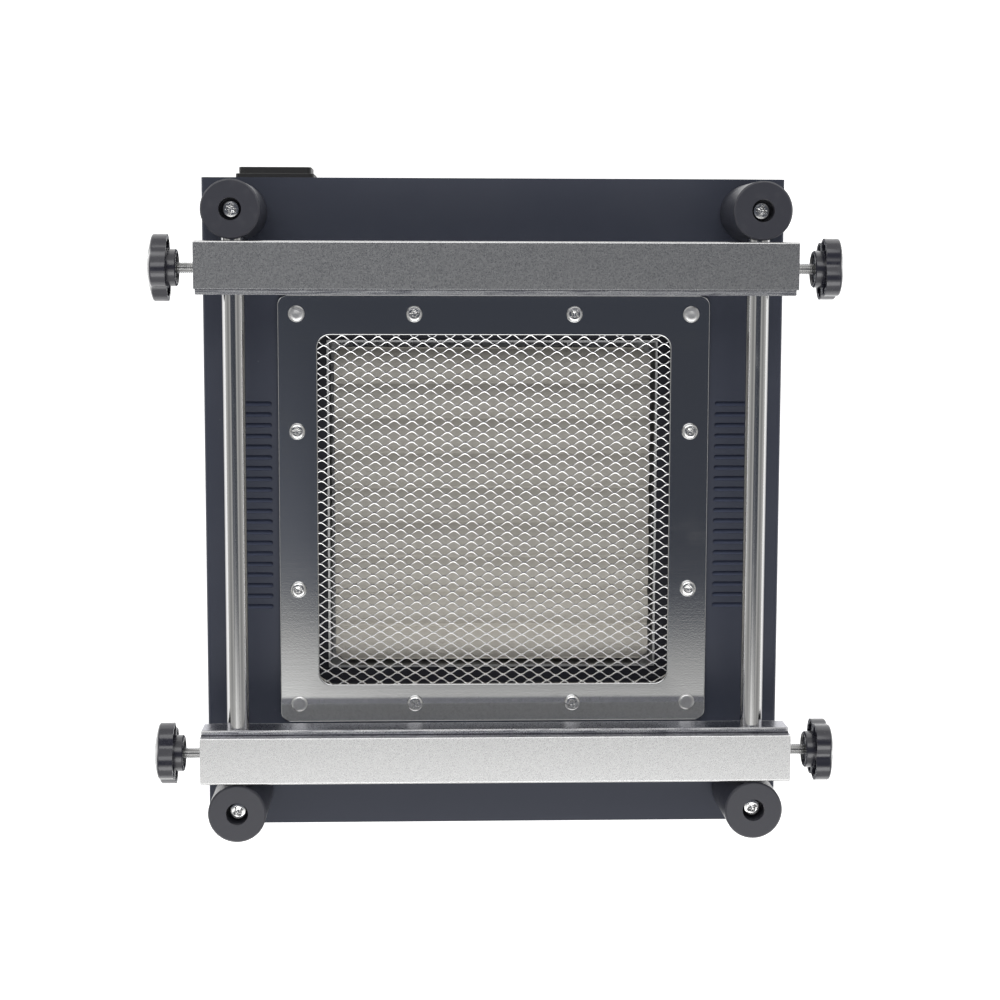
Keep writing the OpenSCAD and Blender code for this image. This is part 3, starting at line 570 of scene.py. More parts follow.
@dataclass(frozen=True)
class Finishes:
    """The preheater's finishes."""

    paint: Finish = PowderCoat("semi_matt_black", (0.031, 0.0365, 0.058), (0.036, 0.0415, 0.063), 0.48)
    # The cover's louvre fins get painted light, which lifts them against their shade.
    cover: Finish = PowderCoat(
        "semi_matt_black_cover", (0.031, 0.0365, 0.058), (0.036, 0.0415, 0.063), 0.48, hollow=(100, 69.8)
    )
    well: Finish = PowderCoat("well_black", (0.022, 0.023, 0.034), (0.028, 0.029, 0.04), 0.55)
    plate: Finish = PolishedSheet("polished_stainless", (0.6, 0.605, 0.61), 0.08)
    # The strands' valley colour is painted shade, and their bright colour on the crests and in front is a
    # painted highlight.
    strand: Finish = ExpandedSteel(
        "bright_strands", grey(0.99), (0.32, 0.32, 0.34), crest_z=71.1, painted_highlight_y=-42, roughness=0.34
    )
    tray: Finish = BareSteel("tray_steel", (0.62, 0.62, 0.61), (0.5, 0.5, 0.49), 0.3)
    zinc: Finish = BareSteel("zinc_plate", grey(0.82), grey(0.7), 0.17, 0.5)
    stud: Finish = BareSteel("stud_steel", grey(0.56), grey(0.46), 0.24, 0.5)
    rivet: Finish = BareSteel("satin_rivet", grey(0.74), grey(0.64), 0.36, 0.5)
    dark_screw: Finish = BareSteel("blackened_screw", (0.05, 0.05, 0.055), grey(0.03), 0.35, 0.5)
    chrome: Finish = HardChrome("hard_chrome", grey(0.6), 0.13)
    # bright also paints the highlight on the step's edge and the light on the underside; shade also paints
    # the shade in the ledge's corner.
    bar: Finish = BlastedBar(
        "blasted_aluminium", (0.48, 0.48, 0.485), fleck=grey(0.56), milled=(0.4, 0.4, 0.44),
        bright=grey(0.92), shade=(0.16, 0.16, 0.18), roughness=0.28,
    )
    # The heater's pale colour is painted light, which makes its front paler against the shade there.
    ceramic: Finish = FiredCeramic(
        "fired_ceramic", (0.45, 0.43, 0.39), (0.39, 0.37, 0.335), (0.53, 0.51, 0.475), pale=(0.7, 0.665, 0.6)
    )
    fibre: Finish = FiredCeramic("fibre_board", (0.75, 0.74, 0.7), (0.66, 0.64, 0.58), (0.8, 0.8, 0.78))
    post: Finish = Moulded("gloss_black_post", (0.03, 0.031, 0.042), (0.035, 0.036, 0.047), 0.38, 0.1)
    knob: Finish = Moulded("gloss_black_knob", (0.021, 0.021, 0.031), (0.026, 0.026, 0.036), 0.25, 0.5)
    black: Finish = Moulded("moulded_black", (0.014, 0.014, 0.015), (0.022, 0.022, 0.023), 0.45)
    rubber: Finish = Moulded("foot_rubber", grey(0.016), grey(0.03), 0.75, 0.0, 0.6)
    button: Finish = Moulded("button_grey", (0.42, 0.42, 0.43), (0.36, 0.36, 0.37), 0.45)
    rocker: Finish = Moulded("rocker_red", (0.36, 0.012, 0.01), (0.3, 0.012, 0.01), 0.28, 0.3)
    pale: Finish = Moulded("pale_plastic", (0.7, 0.69, 0.64), (0.62, 0.61, 0.56), 0.5)
    lens: Finish = Moulded("smoked_lens", (0.03, 0.004, 0.004), (0.04, 0.006, 0.006), 0.12, 0.6)
    brass: Finish = BareSteel("bare_brass", (0.78, 0.6, 0.28), (0.62, 0.46, 0.2), 0.25)
    laminate: Finish = Laminate("green_laminate", (0.012, 0.09, 0.035), (0.03, 0.16, 0.06))


FINISHES = Finishes()


def deselect() -> None:
    """Deselects all objects."""
    bpy.ops.object.select_all(action="DESELECT")


def select_mesh() -> None:
    """Selects the whole mesh in edit mode."""
    bpy.ops.mesh.select_all(action="SELECT")


def lift(height: float) -> None:
    """Extrudes what is selected upwards, by a height in millimetres."""
    bpy.ops.mesh.extrude_region_move(TRANSFORM_OT_translate={"value": (0, 0, height * MM)})


def turned(angle: float, axis: str = "Z") -> Matrix:
    """A rotation about an axis, by an angle in radians."""
    return Matrix.Rotation(angle, 4, axis)


def polar(radius: float, angle: float, around: Point = (0.0, 0.0, 0.0)) -> Point:
    """A point at a radius and an angle round another point, level with it."""
    x, y, z = around
    return (x + radius * math.cos(angle), y + radius * math.sin(angle), z)


@dataclass
class Shape:
    """A mesh object in the making, shaped with Blender's operators."""

    obj: bpy.types.Object

    @classmethod
    def added(cls, name: str) -> "Shape":
        """Takes over the primitive that was just added, with its place applied to its mesh."""
        obj = bpy.context.object
        obj.name = name
        bpy.ops.object.transform_apply(location=True, rotation=True, scale=True)
        return cls(obj)

    @classmethod
    def block(cls, name: str, low: Point, high: Point) -> "Shape":
        """A block between two corners, in millimetres."""
        deselect()
        middle = [(a + b) / 2 * MM for a, b in zip(low, high)]
        size = [(b - a) * MM for a, b in zip(low, high)]
        bpy.ops.mesh.primitive_cube_add(size=1, location=middle, scale=size)
        return cls.added(name)

    @classmethod
    def drum(cls, name: str, radius: float, low: float, high: float, sides: int) -> "Shape":
        """A cylinder along Z on the origin, in millimetres."""
        deselect()
        bpy.ops.mesh.primitive_cylinder_add(
            vertices=sides, radius=radius * MM, depth=(high - low) * MM,
            location=(0, 0, (low + high) / 2 * MM),
        )
        return cls.added(name)

    @classmethod
    def outline(cls, name: str, width: float, corner: float, centre: Point) -> "Shape":
        """A flat square with round corners, in millimetres."""
        deselect()
        bpy.ops.mesh.primitive_plane_add(size=width * MM, location=[c * MM for c in centre])
        shape = cls.added(name)
        with shape.editing():
            select_mesh()
            if corner > 0:
                bpy.ops.mesh.bevel(offset=corner * MM, segments=8, affect="VERTICES")
        return shape

    @classmethod
    def line(cls, name: str, points: Sequence[Point], closed: bool = False) -> "Shape":
        """A line of edges through points, drawn by extruding one vertex of a plane.

        Args:
            name: The object's name.
            points: Points in millimetres.
            closed: Whether the last point joins the first.

        Returns:
            The line.
        """
        deselect()
        bpy.ops.mesh.primitive_plane_add(size=2)
        shape = cls.added(name)
        with shape.editing():
            shape.pick(Element.VERT, lambda at, _: not (at.x > 0 and at.y > 0))
            bpy.ops.mesh.delete(type="VERT")
            select_mesh()
            here = Vector((1, 1, 0))
            bpy.ops.transform.translate(value=Vector(points[0]) * MM - here)
            for before, after in zip(points, points[1:]):
                step = (Vector(after) - Vector(before)) * MM
                bpy.ops.mesh.extrude_vertices_move(TRANSFORM_OT_translate={"value": step})
            if closed:
                select_mesh()
                bpy.ops.mesh.edge_face_add()
        return shape

    @classmethod
    def lathe(cls, name: str, points: Sequence[tuple[float, float]], sides: int = 48) -> "Shape":
        """A solid turned about Z from a profile of radius and height, in millimetres."""
        shape = cls.line(name, [(r, 0.0, z) for r, z in points])
        shape.modify(
            "SCREW", angle=2 * math.pi, steps=sides, render_steps=sides, use_merge_vertices=True,
            merge_threshold=1e-6, use_smooth_shade=False,
        )
        shape.clean()
        return shape

    @classmethod
    def copy_of(cls, name: str, node: str) -> "Shape":
        """A merged copy of a CAD node's mesh, with its flat faces joined."""
        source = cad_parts[node]
        obj = bpy.data.objects.new(name, source.data.copy())
        obj.data.materials.clear()
        bpy.context.scene.collection.objects.link(obj)
        shape = cls(obj)
        with shape.editing():
            select_mesh()
            bpy.ops.mesh.remove_doubles(threshold=2e-6)
            bpy.ops.mesh.customdata_custom_splitnormals_clear()
            bpy.ops.mesh.dissolve_limited(angle_limit=math.radians(0.5))
        return shape

    def activate(self) -> None:
        """Makes this the only selected object, and the active one."""
        deselect()
        self.obj.select_set(True)
        bpy.context.view_layer.objects.active = self.obj

    @contextmanager
    def editing(self) -> Iterator[None]:
        """Edit mode on this object alone, with nothing selected."""
        self.activate()
        bpy.ops.object.mode_set(mode="EDIT")
        bpy.ops.mesh.select_mode(type="VERT")
        bpy.ops.mesh.select_all(action="DESELECT")
        yield
        bpy.ops.object.mode_set(mode="OBJECT")

    def pick(self, element: Element, test: Test, among: bool = False) -> None:
        """Selects vertices, edges or faces in edit mode.

        Args:
            element: What to pick.
            test: Takes an element's middle in millimetres and its direction, and says whether to pick it.
            among: Whether to pick only among the edges that are selected already.
        """
        bpy.ops.mesh.select_mode(type=element.value)
        mesh = bmesh.from_edit_mesh(self.obj.data)
        for edge in mesh.edges if element is Element.EDGE else ():
            a, b = edge.verts
            chosen = edge.select or not among
            edge.select_set(chosen and test((a.co + b.co) / 2 / MM, (b.co - a.co).normalized()))
        for face in mesh.faces if element is Element.FACE else ():
            face.select_set(test(face.calc_center_median() / MM, face.normal))
        for vert in mesh.verts if element is Element.VERT else ():
            vert.select_set(test(vert.co / MM, vert.normal))
        bmesh.update_edit_mesh(self.obj.data)

    def modify(self, kind: str, **settings: Any) -> None:
        """Adds a modifier and applies it."""
        self.activate()
        made = self.obj.modifiers.new(kind.lower(), kind)
        for key, value in settings.items():
            setattr(made, key, value)
        bpy.ops.object.modifier_apply(modifier=made.name)

    def clean(self) -> None:
        """Merges doubles and turns all faces outwards."""
        with self.editing():
            select_mesh()
            bpy.ops.mesh.remove_doubles(threshold=1e-6)
            bpy.ops.mesh.normals_make_consistent(inside=False)

    def soften(self, width: float, segments: int = 2, angle: float = 40) -> None:
        """Rounds the edges that turn by more than an angle, by a width in millimetres."""
        self.modify(
            "BEVEL", width=width * MM, segments=segments, limit_method="ANGLE",
            angle_limit=math.radians(angle), use_clamp_overlap=True, miter_outer="MITER_ARC",
            harden_normals=False,
        )

    def ease(self, width: float, test: Test) -> None:
        """Rounds the sharp edges that pass a test, by a width in millimetres."""
        with self.editing():
            bpy.ops.mesh.select_mode(type="EDGE")
            bpy.ops.mesh.edges_select_sharp(sharpness=math.radians(40))
            self.pick(Element.EDGE, test, among=True)
            bpy.ops.mesh.bevel(offset=width * MM, segments=2, affect="EDGES", clamp_overlap=True)

    def cut(self, tool: "Shape") -> None:
        """Cuts another shape out of this one and deletes it."""
        self.modify("BOOLEAN", operation="DIFFERENCE", object=tool.obj, solver="EXACT")
        bpy.data.objects.remove(tool.obj)

    def fuse(self, other: "Shape") -> None:
        """Joins another shape's volume to this one and deletes it."""
        self.modify("BOOLEAN", operation="UNION", object=other.obj, solver="EXACT")
        bpy.data.objects.remove(other.obj)

    def join(self, others: Sequence["Shape"]) -> None:
        """Takes the meshes of other shapes into this one."""
        self.activate()
        for other in others:
            other.obj.select_set(True)
        bpy.ops.object.join()

    def twin(self, name: str) -> "Shape":
        """A copy with its own mesh."""
        obj = self.obj.copy()
        obj.data = self.obj.data.copy()
        obj.name = name
        bpy.context.scene.collection.objects.link(obj)
        return Shape(obj)

    def move(self, at: Point, matrix: Matrix | None = None) -> "Shape":
        """Turns the shape by a matrix, sets it at a point in millimetres and applies both."""
        self.obj.matrix_world = Matrix.Translation(Vector(at) * MM) @ (matrix or Matrix.Identity(4))
        self.activate()
        bpy.ops.object.transform_apply(location=True, rotation=True, scale=True)
        return self

    def scatter(self, name: str, places: Sequence[tuple[Point, Matrix | None]]) -> "Shape":
        """Copies of this shape at places, joined in one object; the pattern is deleted."""
        twins = [self.twin(name).move(at, matrix) for at, matrix in places]
        twins[0].join(twins[1:])
        bpy.data.objects.remove(self.obj)
        return twins[0]

    def done(
        self, body: str, slot: str, finish: Finish, nodes: Sequence[str], smooth: float = 35
    ) -> None:
        """Shades the piece, dresses it and hands it to the frame.

        Args:
            body: The CAD body it rides on.
            slot: The record's material slot; not used.
            finish: Its finish.
            nodes: The CAD nodes it stands for.
            smooth: Angle in degrees up to which edges shade smoothly.
        """
        self.activate()
        bpy.ops.object.shade_smooth_by_angle(angle=math.radians(smooth))
        self.modify("WEIGHTED_NORMAL", weight=80, keep_sharp=True)
        self.obj.data.materials.clear()
        self.obj.data.materials.append(finish.material())
        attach(self.obj, body)
        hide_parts(*nodes)
        LOG.info("%s: %d faces on %s", self.obj.name, len(self.obj.data.polygons), body)


def soften_node(node: str, name: str, body: str, slot: str, finish: Finish, edge: float) -> None:
    """Puts a copy with round edges in a CAD node's place.

    Args:
        node: The CAD node.
        name: Name of the copy.
        body: The body it rides on.
        slot: The record's material slot; not used.
        finish: Its finish.
        edge: Width of the rounding in millimetres.
    """
    copy = Shape.copy_of(name, node)
    copy.soften(edge)
    copy.done(body, slot, finish, [node], smooth=40)


def dress(finish: Finish, *nodes: str) -> None:
    """Gives CAD nodes a finish.

    Args:
        finish: The finish.
        nodes: The CAD nodes' names.
    """
    for node in nodes:
        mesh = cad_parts[node].data
        mesh.materials.clear()
        mesh.materials.append(finish.material())
        LOG.info("%s: CAD node in %s", node, finish.name)


@dataclass
class Lamp:
    """A large soft lamp, with its sizes and places in metres and its power in watts."""

    name: str
    power: float
    spot: Point
    size: tuple[float, float] = (1.6, 0.8)
    aim: Point = (0.0, 0.0, 0.07)

    def build(self) -> None:
        """Hangs the lamp and turns it to its aim."""
        data = bpy.data.lights.new(self.name, "AREA")
        data.shape = "RECTANGLE"
        data.size, data.size_y = self.size
        data.energy = self.power
        lamp = bpy.data.objects.new(self.name, data)
        way = (Vector(self.aim) - Vector(self.spot)).to_track_quat("-Z", "Y")
        lamp.matrix_world = Matrix.Translation(self.spot) @ way.to_matrix().to_4x4()
        bpy.context.scene.collection.objects.link(lamp)


@dataclass
class Studio:
    """The floor, the light and the camera, which stands where it was fitted to the photograph."""

    eye_shift: Point = (-2.22, -3.89, -758.16)
    eye_turn: Point = (6.38, 2.21, 0.10)
    aim: Point = (0.0, -1.7, 72.2)
    lens: float = 73.116
    sensor: float = 36.0
    far: float = 50.0
    floor: float = 6.0
    floor_z: float = -0.0002
    glow: float = 0.7
    front_gain: float = 1.7

    def build(self) -> None:
        """Sets up the studio."""
        self.add_camera()
        self.add_floor()
        self.light_sky()
        Lamp("front_softbox", 10, (0.1, -1.1, 1.7)).build()
        Lamp("rear_softbox", 8, (-0.2, 1.0, 1.6)).build()

    def add_camera(self) -> None:
        """Puts the camera where the photograph was taken from."""
        turn = Matrix.Identity(3)
        for angle, axis in zip(self.eye_turn, "XYZ"):
            turn = Matrix.Rotation(math.radians(angle), 3, axis) @ turn
        spot = Vector(self.aim) - turn.transposed() @ Vector(self.eye_shift)
        data = bpy.data.cameras.new("photo_camera")
        data.lens = self.lens
        data.sensor_width = self.sensor
        data.sensor_fit = "HORIZONTAL"
        data.clip_end = self.far
        camera = bpy.data.objects.new("photo_camera", data)
        camera.matrix_world = Matrix.Translation(spot * MM) @ turn.transposed().to_4x4()
        bpy.context.scene.collection.objects.link(camera)
        bpy.context.scene.camera = camera

    def add_floor(self) -> None:
        """Lays the pale floor."""
        deselect()
        bpy.ops.mesh.primitive_plane_add(size=self.floor, location=(0, 0, self.floor_z))
        floor = Shape.added("studio_floor")
        surface = Surface("pale_floor")
        surface.set(
            Base_Color=surface.blend(surface.noise(300), grey(0.93), grey(0.95)),
            Roughness=0.8,
            Emission_Color=grey(1.0),
            Emission_Strength=self.glow,
        )
        floor.obj.data.materials.append(surface.material)

    def light_sky(self) -> None:
        """Soft light all round, with the dark gap above that the camera looks out of."""
        world = bpy.data.worlds.new("studio_sky")
        bpy.context.scene.world = world
        world.use_nodes = True
        tree = Tree(world.node_tree)
        across, along, _ = tree.axes("Generated")
        sides = abs(across).graph(
            (0, 0.07), (0.38, 0.07), (0.5, 0.6), (0.62, 0.5), (0.74, 0.3), (0.88, 0.36), (0.97, 0.6)
        )
        ahead = along * -1.0
        front = ahead.graph(
            (0.13, 0.033), (0.16, 0.05), (0.168, 0.07), (0.174, 0.13), (0.181, 0.26), (0.188, 0.31),
            (0.203, 0.33), (0.21, 0.42), (0.24, 0.75), (0.36, 0.8), (0.5, 0.62), (0.85, 0.6), (1, 0.45),
        )
        left = (across * -1.0).graph((0.0, 0.0), (0.07, 1.0)) * ahead.graph(
            (0.02, 0.02), (0.09, 0.06), (0.145, 0.11), (0.17, 0.18), (0.2, 0.25), (0.22, 0.4), (0.32, 0.1)
        )
        rear = along.graph((0.26, 0.06), (0.42, 0.5), (0.7, 1.0), (1, 0.9))
        fade = abs(across).graph((0.22, 1), (0.46, 0.4))
        level = sides.most((front * self.front_gain + left) * fade).most(rear)
        tint = tree.blend(level.step(0.05, 0.35), (0.88, 0.97, 1.22), (1.0, 0.995, 0.975))
        back = tree.node("ShaderNodeBackground", inputs={"Color": tint, "Strength": level})
        out = tree.tree.nodes.new("ShaderNodeOutputWorld")
        tree.tree.links.new(back.socket, out.inputs["Surface"])


@dataclass
class Housing:
    """Sheet-metal box, feet and outer screws."""

    edge: float = 0.25
    roof: float = 70.0
    half_depth: float = 121.0
    foot_edge: float = 0.8

    def build(self) -> None:
        """Dresses the box."""
        cover = Shape.copy_of("folded_cover", "top_cover")
        cover.ease(self.edge, lambda at, _: at.z > self.roof - NEAR or abs(at.y) > self.half_depth - NEAR)
        cover.done("housing", "black_paint", FINISHES.cover, ["top_cover"], smooth=40)
        soften_node("base_pan", "folded_pan", "housing", "black_paint", FINISHES.paint, self.edge)
        soften_node("feet", "rubber_feet", "housing", "foot_rubber", FINISHES.rubber, self.foot_edge)
        dress(FINISHES.well, "heater_well")
        dress(FINISHES.zinc, "foot_screws", "foot_nuts", "post_nuts", "plate_nuts")
        dress(FINISHES.dark_screw, "cover_screws")


@dataclass
class HeaterBed:
    """Heater, tray, window plate, grille and their fasteners."""

    centre_y: float = -1.7
    plate_w: float = 160.0
    plate_r: float = 3.7
    window_w: float = 130.9
    window_r: float = 5.0
    window_y: float = -2.0
    plate_z: float = 71.2
    plate_t: float = 1.0
    plate_edge: float = 0.5
    row: float = 73.0
    screw_step: float = 29.6
    screw: ScrewSize = ScrewSize(3.05, 2.0, 1.5, 7.9)
    rivet_h: float = 0.82
    dimple: float = 0.06
    rivet_shank_r: float = 1.5
    rivet_l: float = 5.0
    grille_z: float = 70.0
    grille_t: float = 1.2
    grille_w: float = 156.0
    strand_lap: float = 1.0
    rim_lap: float = 0.5
    long_way: float = 6.642
    short_way: float = 3.878
    columns: int = 25
    rows: int = 38
    skew: float = -1.44
    strand_w: float = 0.5
    strand_t: float = 0.3
    strand_lean: float = 70.0
    bow: float = 0.95
    wave_steps: int = 8
    phase: tuple[float, float] = (0.23, -0.315)

    @property
    def plate_top(self) -> float:
        """Height of the plate's top."""
        return self.plate_z + self.plate_t

    def build(self) -> None:
        """Builds and dresses the heater bed."""
        dress(FINISHES.tray, "reflector_tray", "heater_clip", "tray_brackets")
        dress(FINISHES.ceramic, "ceramic_heater")
        dress(FINISHES.fibre, "insulation_board")
        dress(FINISHES.zinc, "thermocouple")
        self.build_plate()
        self.build_grille()
        self.build_screws()
        self.build_rivets()

    def build_plate(self) -> None:
        """Window plate with round edges."""
        centre = (0.0, self.centre_y, self.plate_z)
        plate = Shape.outline("window_frame", self.plate_w, self.plate_r, centre)
        window = (0.0, self.window_y, self.plate_z)
        plate.join([Shape.outline("window_cut", self.window_w, self.window_r, window)])
        with plate.editing():
            select_mesh()
            bpy.ops.mesh.delete(type="ONLY_FACE")
            bpy.ops.mesh.select_mode(type="EDGE")
            select_mesh()
            bpy.ops.mesh.bridge_edge_loops()
            select_mesh()
            lift(self.plate_t)
            select_mesh()
            bpy.ops.mesh.normals_make_consistent(inside=False)
        plate.soften(self.plate_edge, segments=3, angle=60)
        plate.done("housing", "window_steel", FINISHES.plate, ["window_plate"], smooth=40)

    def wave(self) -> list[Vector]:
        """Middle line of half a strand, from its low valley to its high crest, in millimetres."""
        lean = math.radians(self.strand_lean)
        rise = self.strand_w * math.sin(lean)
        reach = self.short_way / 2 - self.strand_w * math.cos(lean)
        points = []
        for k in range(self.wave_steps + 1):
            t = k / self.wave_steps
            bow = (1 - math.cos(t * math.pi)) / 2
            swing = self.bow * bow + (1 - self.bow) * t - 0.5
            points.append(Vector((t * self.long_way / 2, reach * swing, rise * swing)))
        return points

    def build_grille(self) -> None:
        """Expanded metal: rows of leaning, waved strands that meet at their crests."""
        line = self.wave()
        deselect()
        bpy.ops.mesh.primitive_plane_add(size=MM, rotation=(0, math.pi / 2, 0))
        strand = Shape.added("expanded_grille")
        with strand.editing():
            select_mesh()
            bpy.ops.mesh.delete(type="ONLY_FACE")
            select_mesh()
            bpy.ops.transform.resize(value=(1, self.strand_w, self.strand_t))
            lean = math.radians(self.strand_lean)
            bpy.ops.transform.rotate(value=lean, orient_axis="X", center_override=(0, 0, 0))
            bpy.ops.transform.translate(value=line[0] * MM)
            bpy.ops.mesh.select_mode(type="EDGE")
            for before, after in zip(line, line[1:]):
                bpy.ops.mesh.extrude_edges_move(TRANSFORM_OT_translate={"value": (after - before) * MM})
        strand.modify("MIRROR", use_axis=(True, False, False), use_mirror_merge=True, merge_threshold=1e-5)
        pitch = self.long_way * MM
        drop = self.short_way / 2 * MM
        for count, offset in (
            (self.columns, (pitch, 0, 0)), (2, (pitch / 2, drop, 0)), (self.rows, (0, 2 * drop, 0)),
        ):
            strand.modify(
                "ARRAY", count=count, use_relative_offset=False, use_constant_offset=True,
                constant_offset_displace=offset, use_merge_vertices=offset[1] == 0, merge_threshold=1e-5,
            )
        middle_z = self.grille_z + self.grille_t / 2
        start_x = self.phase[0] - (self.columns - 0.5) * self.long_way / 2
        start_y = self.phase[1] - (self.rows - 0.5) * self.short_way / 2
        strand.move((start_x, start_y, 0.0))
        strand.move((0.0, self.centre_y, middle_z), turned(math.radians(self.skew)))
        edge = self.window_w / 2 + self.strand_lap
        with strand.editing():
            for way in ((1, 0, 0), (-1, 0, 0), (0, 1, 0), (0, -1, 0)):
                cut = Vector((0, self.centre_y, 0)) + edge * Vector(way)
                select_mesh()
                bpy.ops.mesh.bisect(plane_co=cut * MM, plane_no=way, clear_outer=True, use_fill=False)
        strand.clean()
        strand.join([self.rim()])
        strand.done("housing", "grille_steel", FINISHES.strand, ["grille"], smooth=40)

    def rim(self) -> Shape:
        """The grille sheet's flat rim under the window plate."""
        centre = (0.0, self.centre_y, self.grille_z)
        rim = Shape.outline("grille_rim", self.grille_w, 0, centre)
        inset = (self.grille_w - self.window_w) / 2 - self.rim_lap
        with rim.editing():
            select_mesh()
            bpy.ops.mesh.inset(thickness=inset * MM)
            bpy.ops.mesh.delete(type="FACE")
            select_mesh()
            lift(self.grille_t)
        rim.clean()
        return rim

    def build_screws(self) -> None:
        """Pan-head screws round the window, each driven to another angle."""
        places = []
        for turn in range(4):
            way = turn * math.pi / 2
            middle = polar(self.row, way, (0.0, self.centre_y, self.plate_top))
            for side in Side:
                at = polar(side.value * self.screw_step, way + math.pi / 2, middle)
                places.append((at, turned(0.4 + turn * 0.9 + side.value * 0.5)))
        screws = pan_screw(self.screw).scatter("plate_screw_set", places)
        screws.done("housing", "screw_steel", FINISHES.zinc, ["plate_screws"])

    def build_rivets(self) -> None:
        """Low domed rivets in the plate's corners, with a shallow dimple."""
        floor = self.rivet_h - self.dimple
        edge = self.screw.head_r
        dome = [(1.2, 0.81), (1.5, self.rivet_h), (2.2, 0.74), (2.7, 0.6), (2.95, 0.3), (edge, 0.0)]
        shank = [(self.rivet_shank_r, 0.0), (self.rivet_shank_r, -self.rivet_l), (0, -self.rivet_l)]
        rivet = Shape.lathe("rivet", [(0, floor), (0.8, floor), *dome, *shank])
        places = [
            ((side.value * self.row, end.value * self.row + self.centre_y, self.plate_top), None)
            for side in Side for end in End
        ]
        rivets = rivet.scatter("rivet_set", places)
        rivets.done("housing", "screw_steel", FINISHES.rivet, ["plate_rivets"], smooth=50)


def pan_screw(size: ScrewSize) -> Shape:
    """A pan-head screw pointing down, with a cross recess in its head.

    Args:
        size: The screw's sizes.

    Returns:
        The screw, with its seat at the origin.
    """
    r, h = size.head_r, size.head_h
    head = [(0, h), (0.6 * r, 0.99 * h), (0.8 * r, 0.95 * h), (0.9 * r, 0.82 * h), (0.96 * r, 0.56 * h),
            (r, 0.2 * h), (0.96 * r, 0.0)]
    shank = [(size.shank_r, 0.0), (size.shank_r, -size.length + size.tip),
             (size.shank_r - size.tip, -size.length), (0, -size.length)]
    screw = Shape.lathe("pan_screw", [*head, *shank], 40)
    for turn in (0.0, math.pi / 2):
        wing = Shape.block("wing", (-0.7 * r, -0.17 * r, 0.25 * h), (0.7 * r, 0.17 * r, 1.4 * h))
        with wing.editing():
            wing.pick(Element.FACE, lambda _, normal: normal.z < -FACING)
            bpy.ops.transform.resize(value=(0.45, 0.75, 1))
        screw.cut(wing.move((0, 0, 0), turned(turn)))
    screw.cut(Shape.lathe("point", [(0, 0.12 * h), (0.42 * r, 1.1 * h), (0, 1.1 * h)], 24))
    screw.soften(size.edge)
    return screw


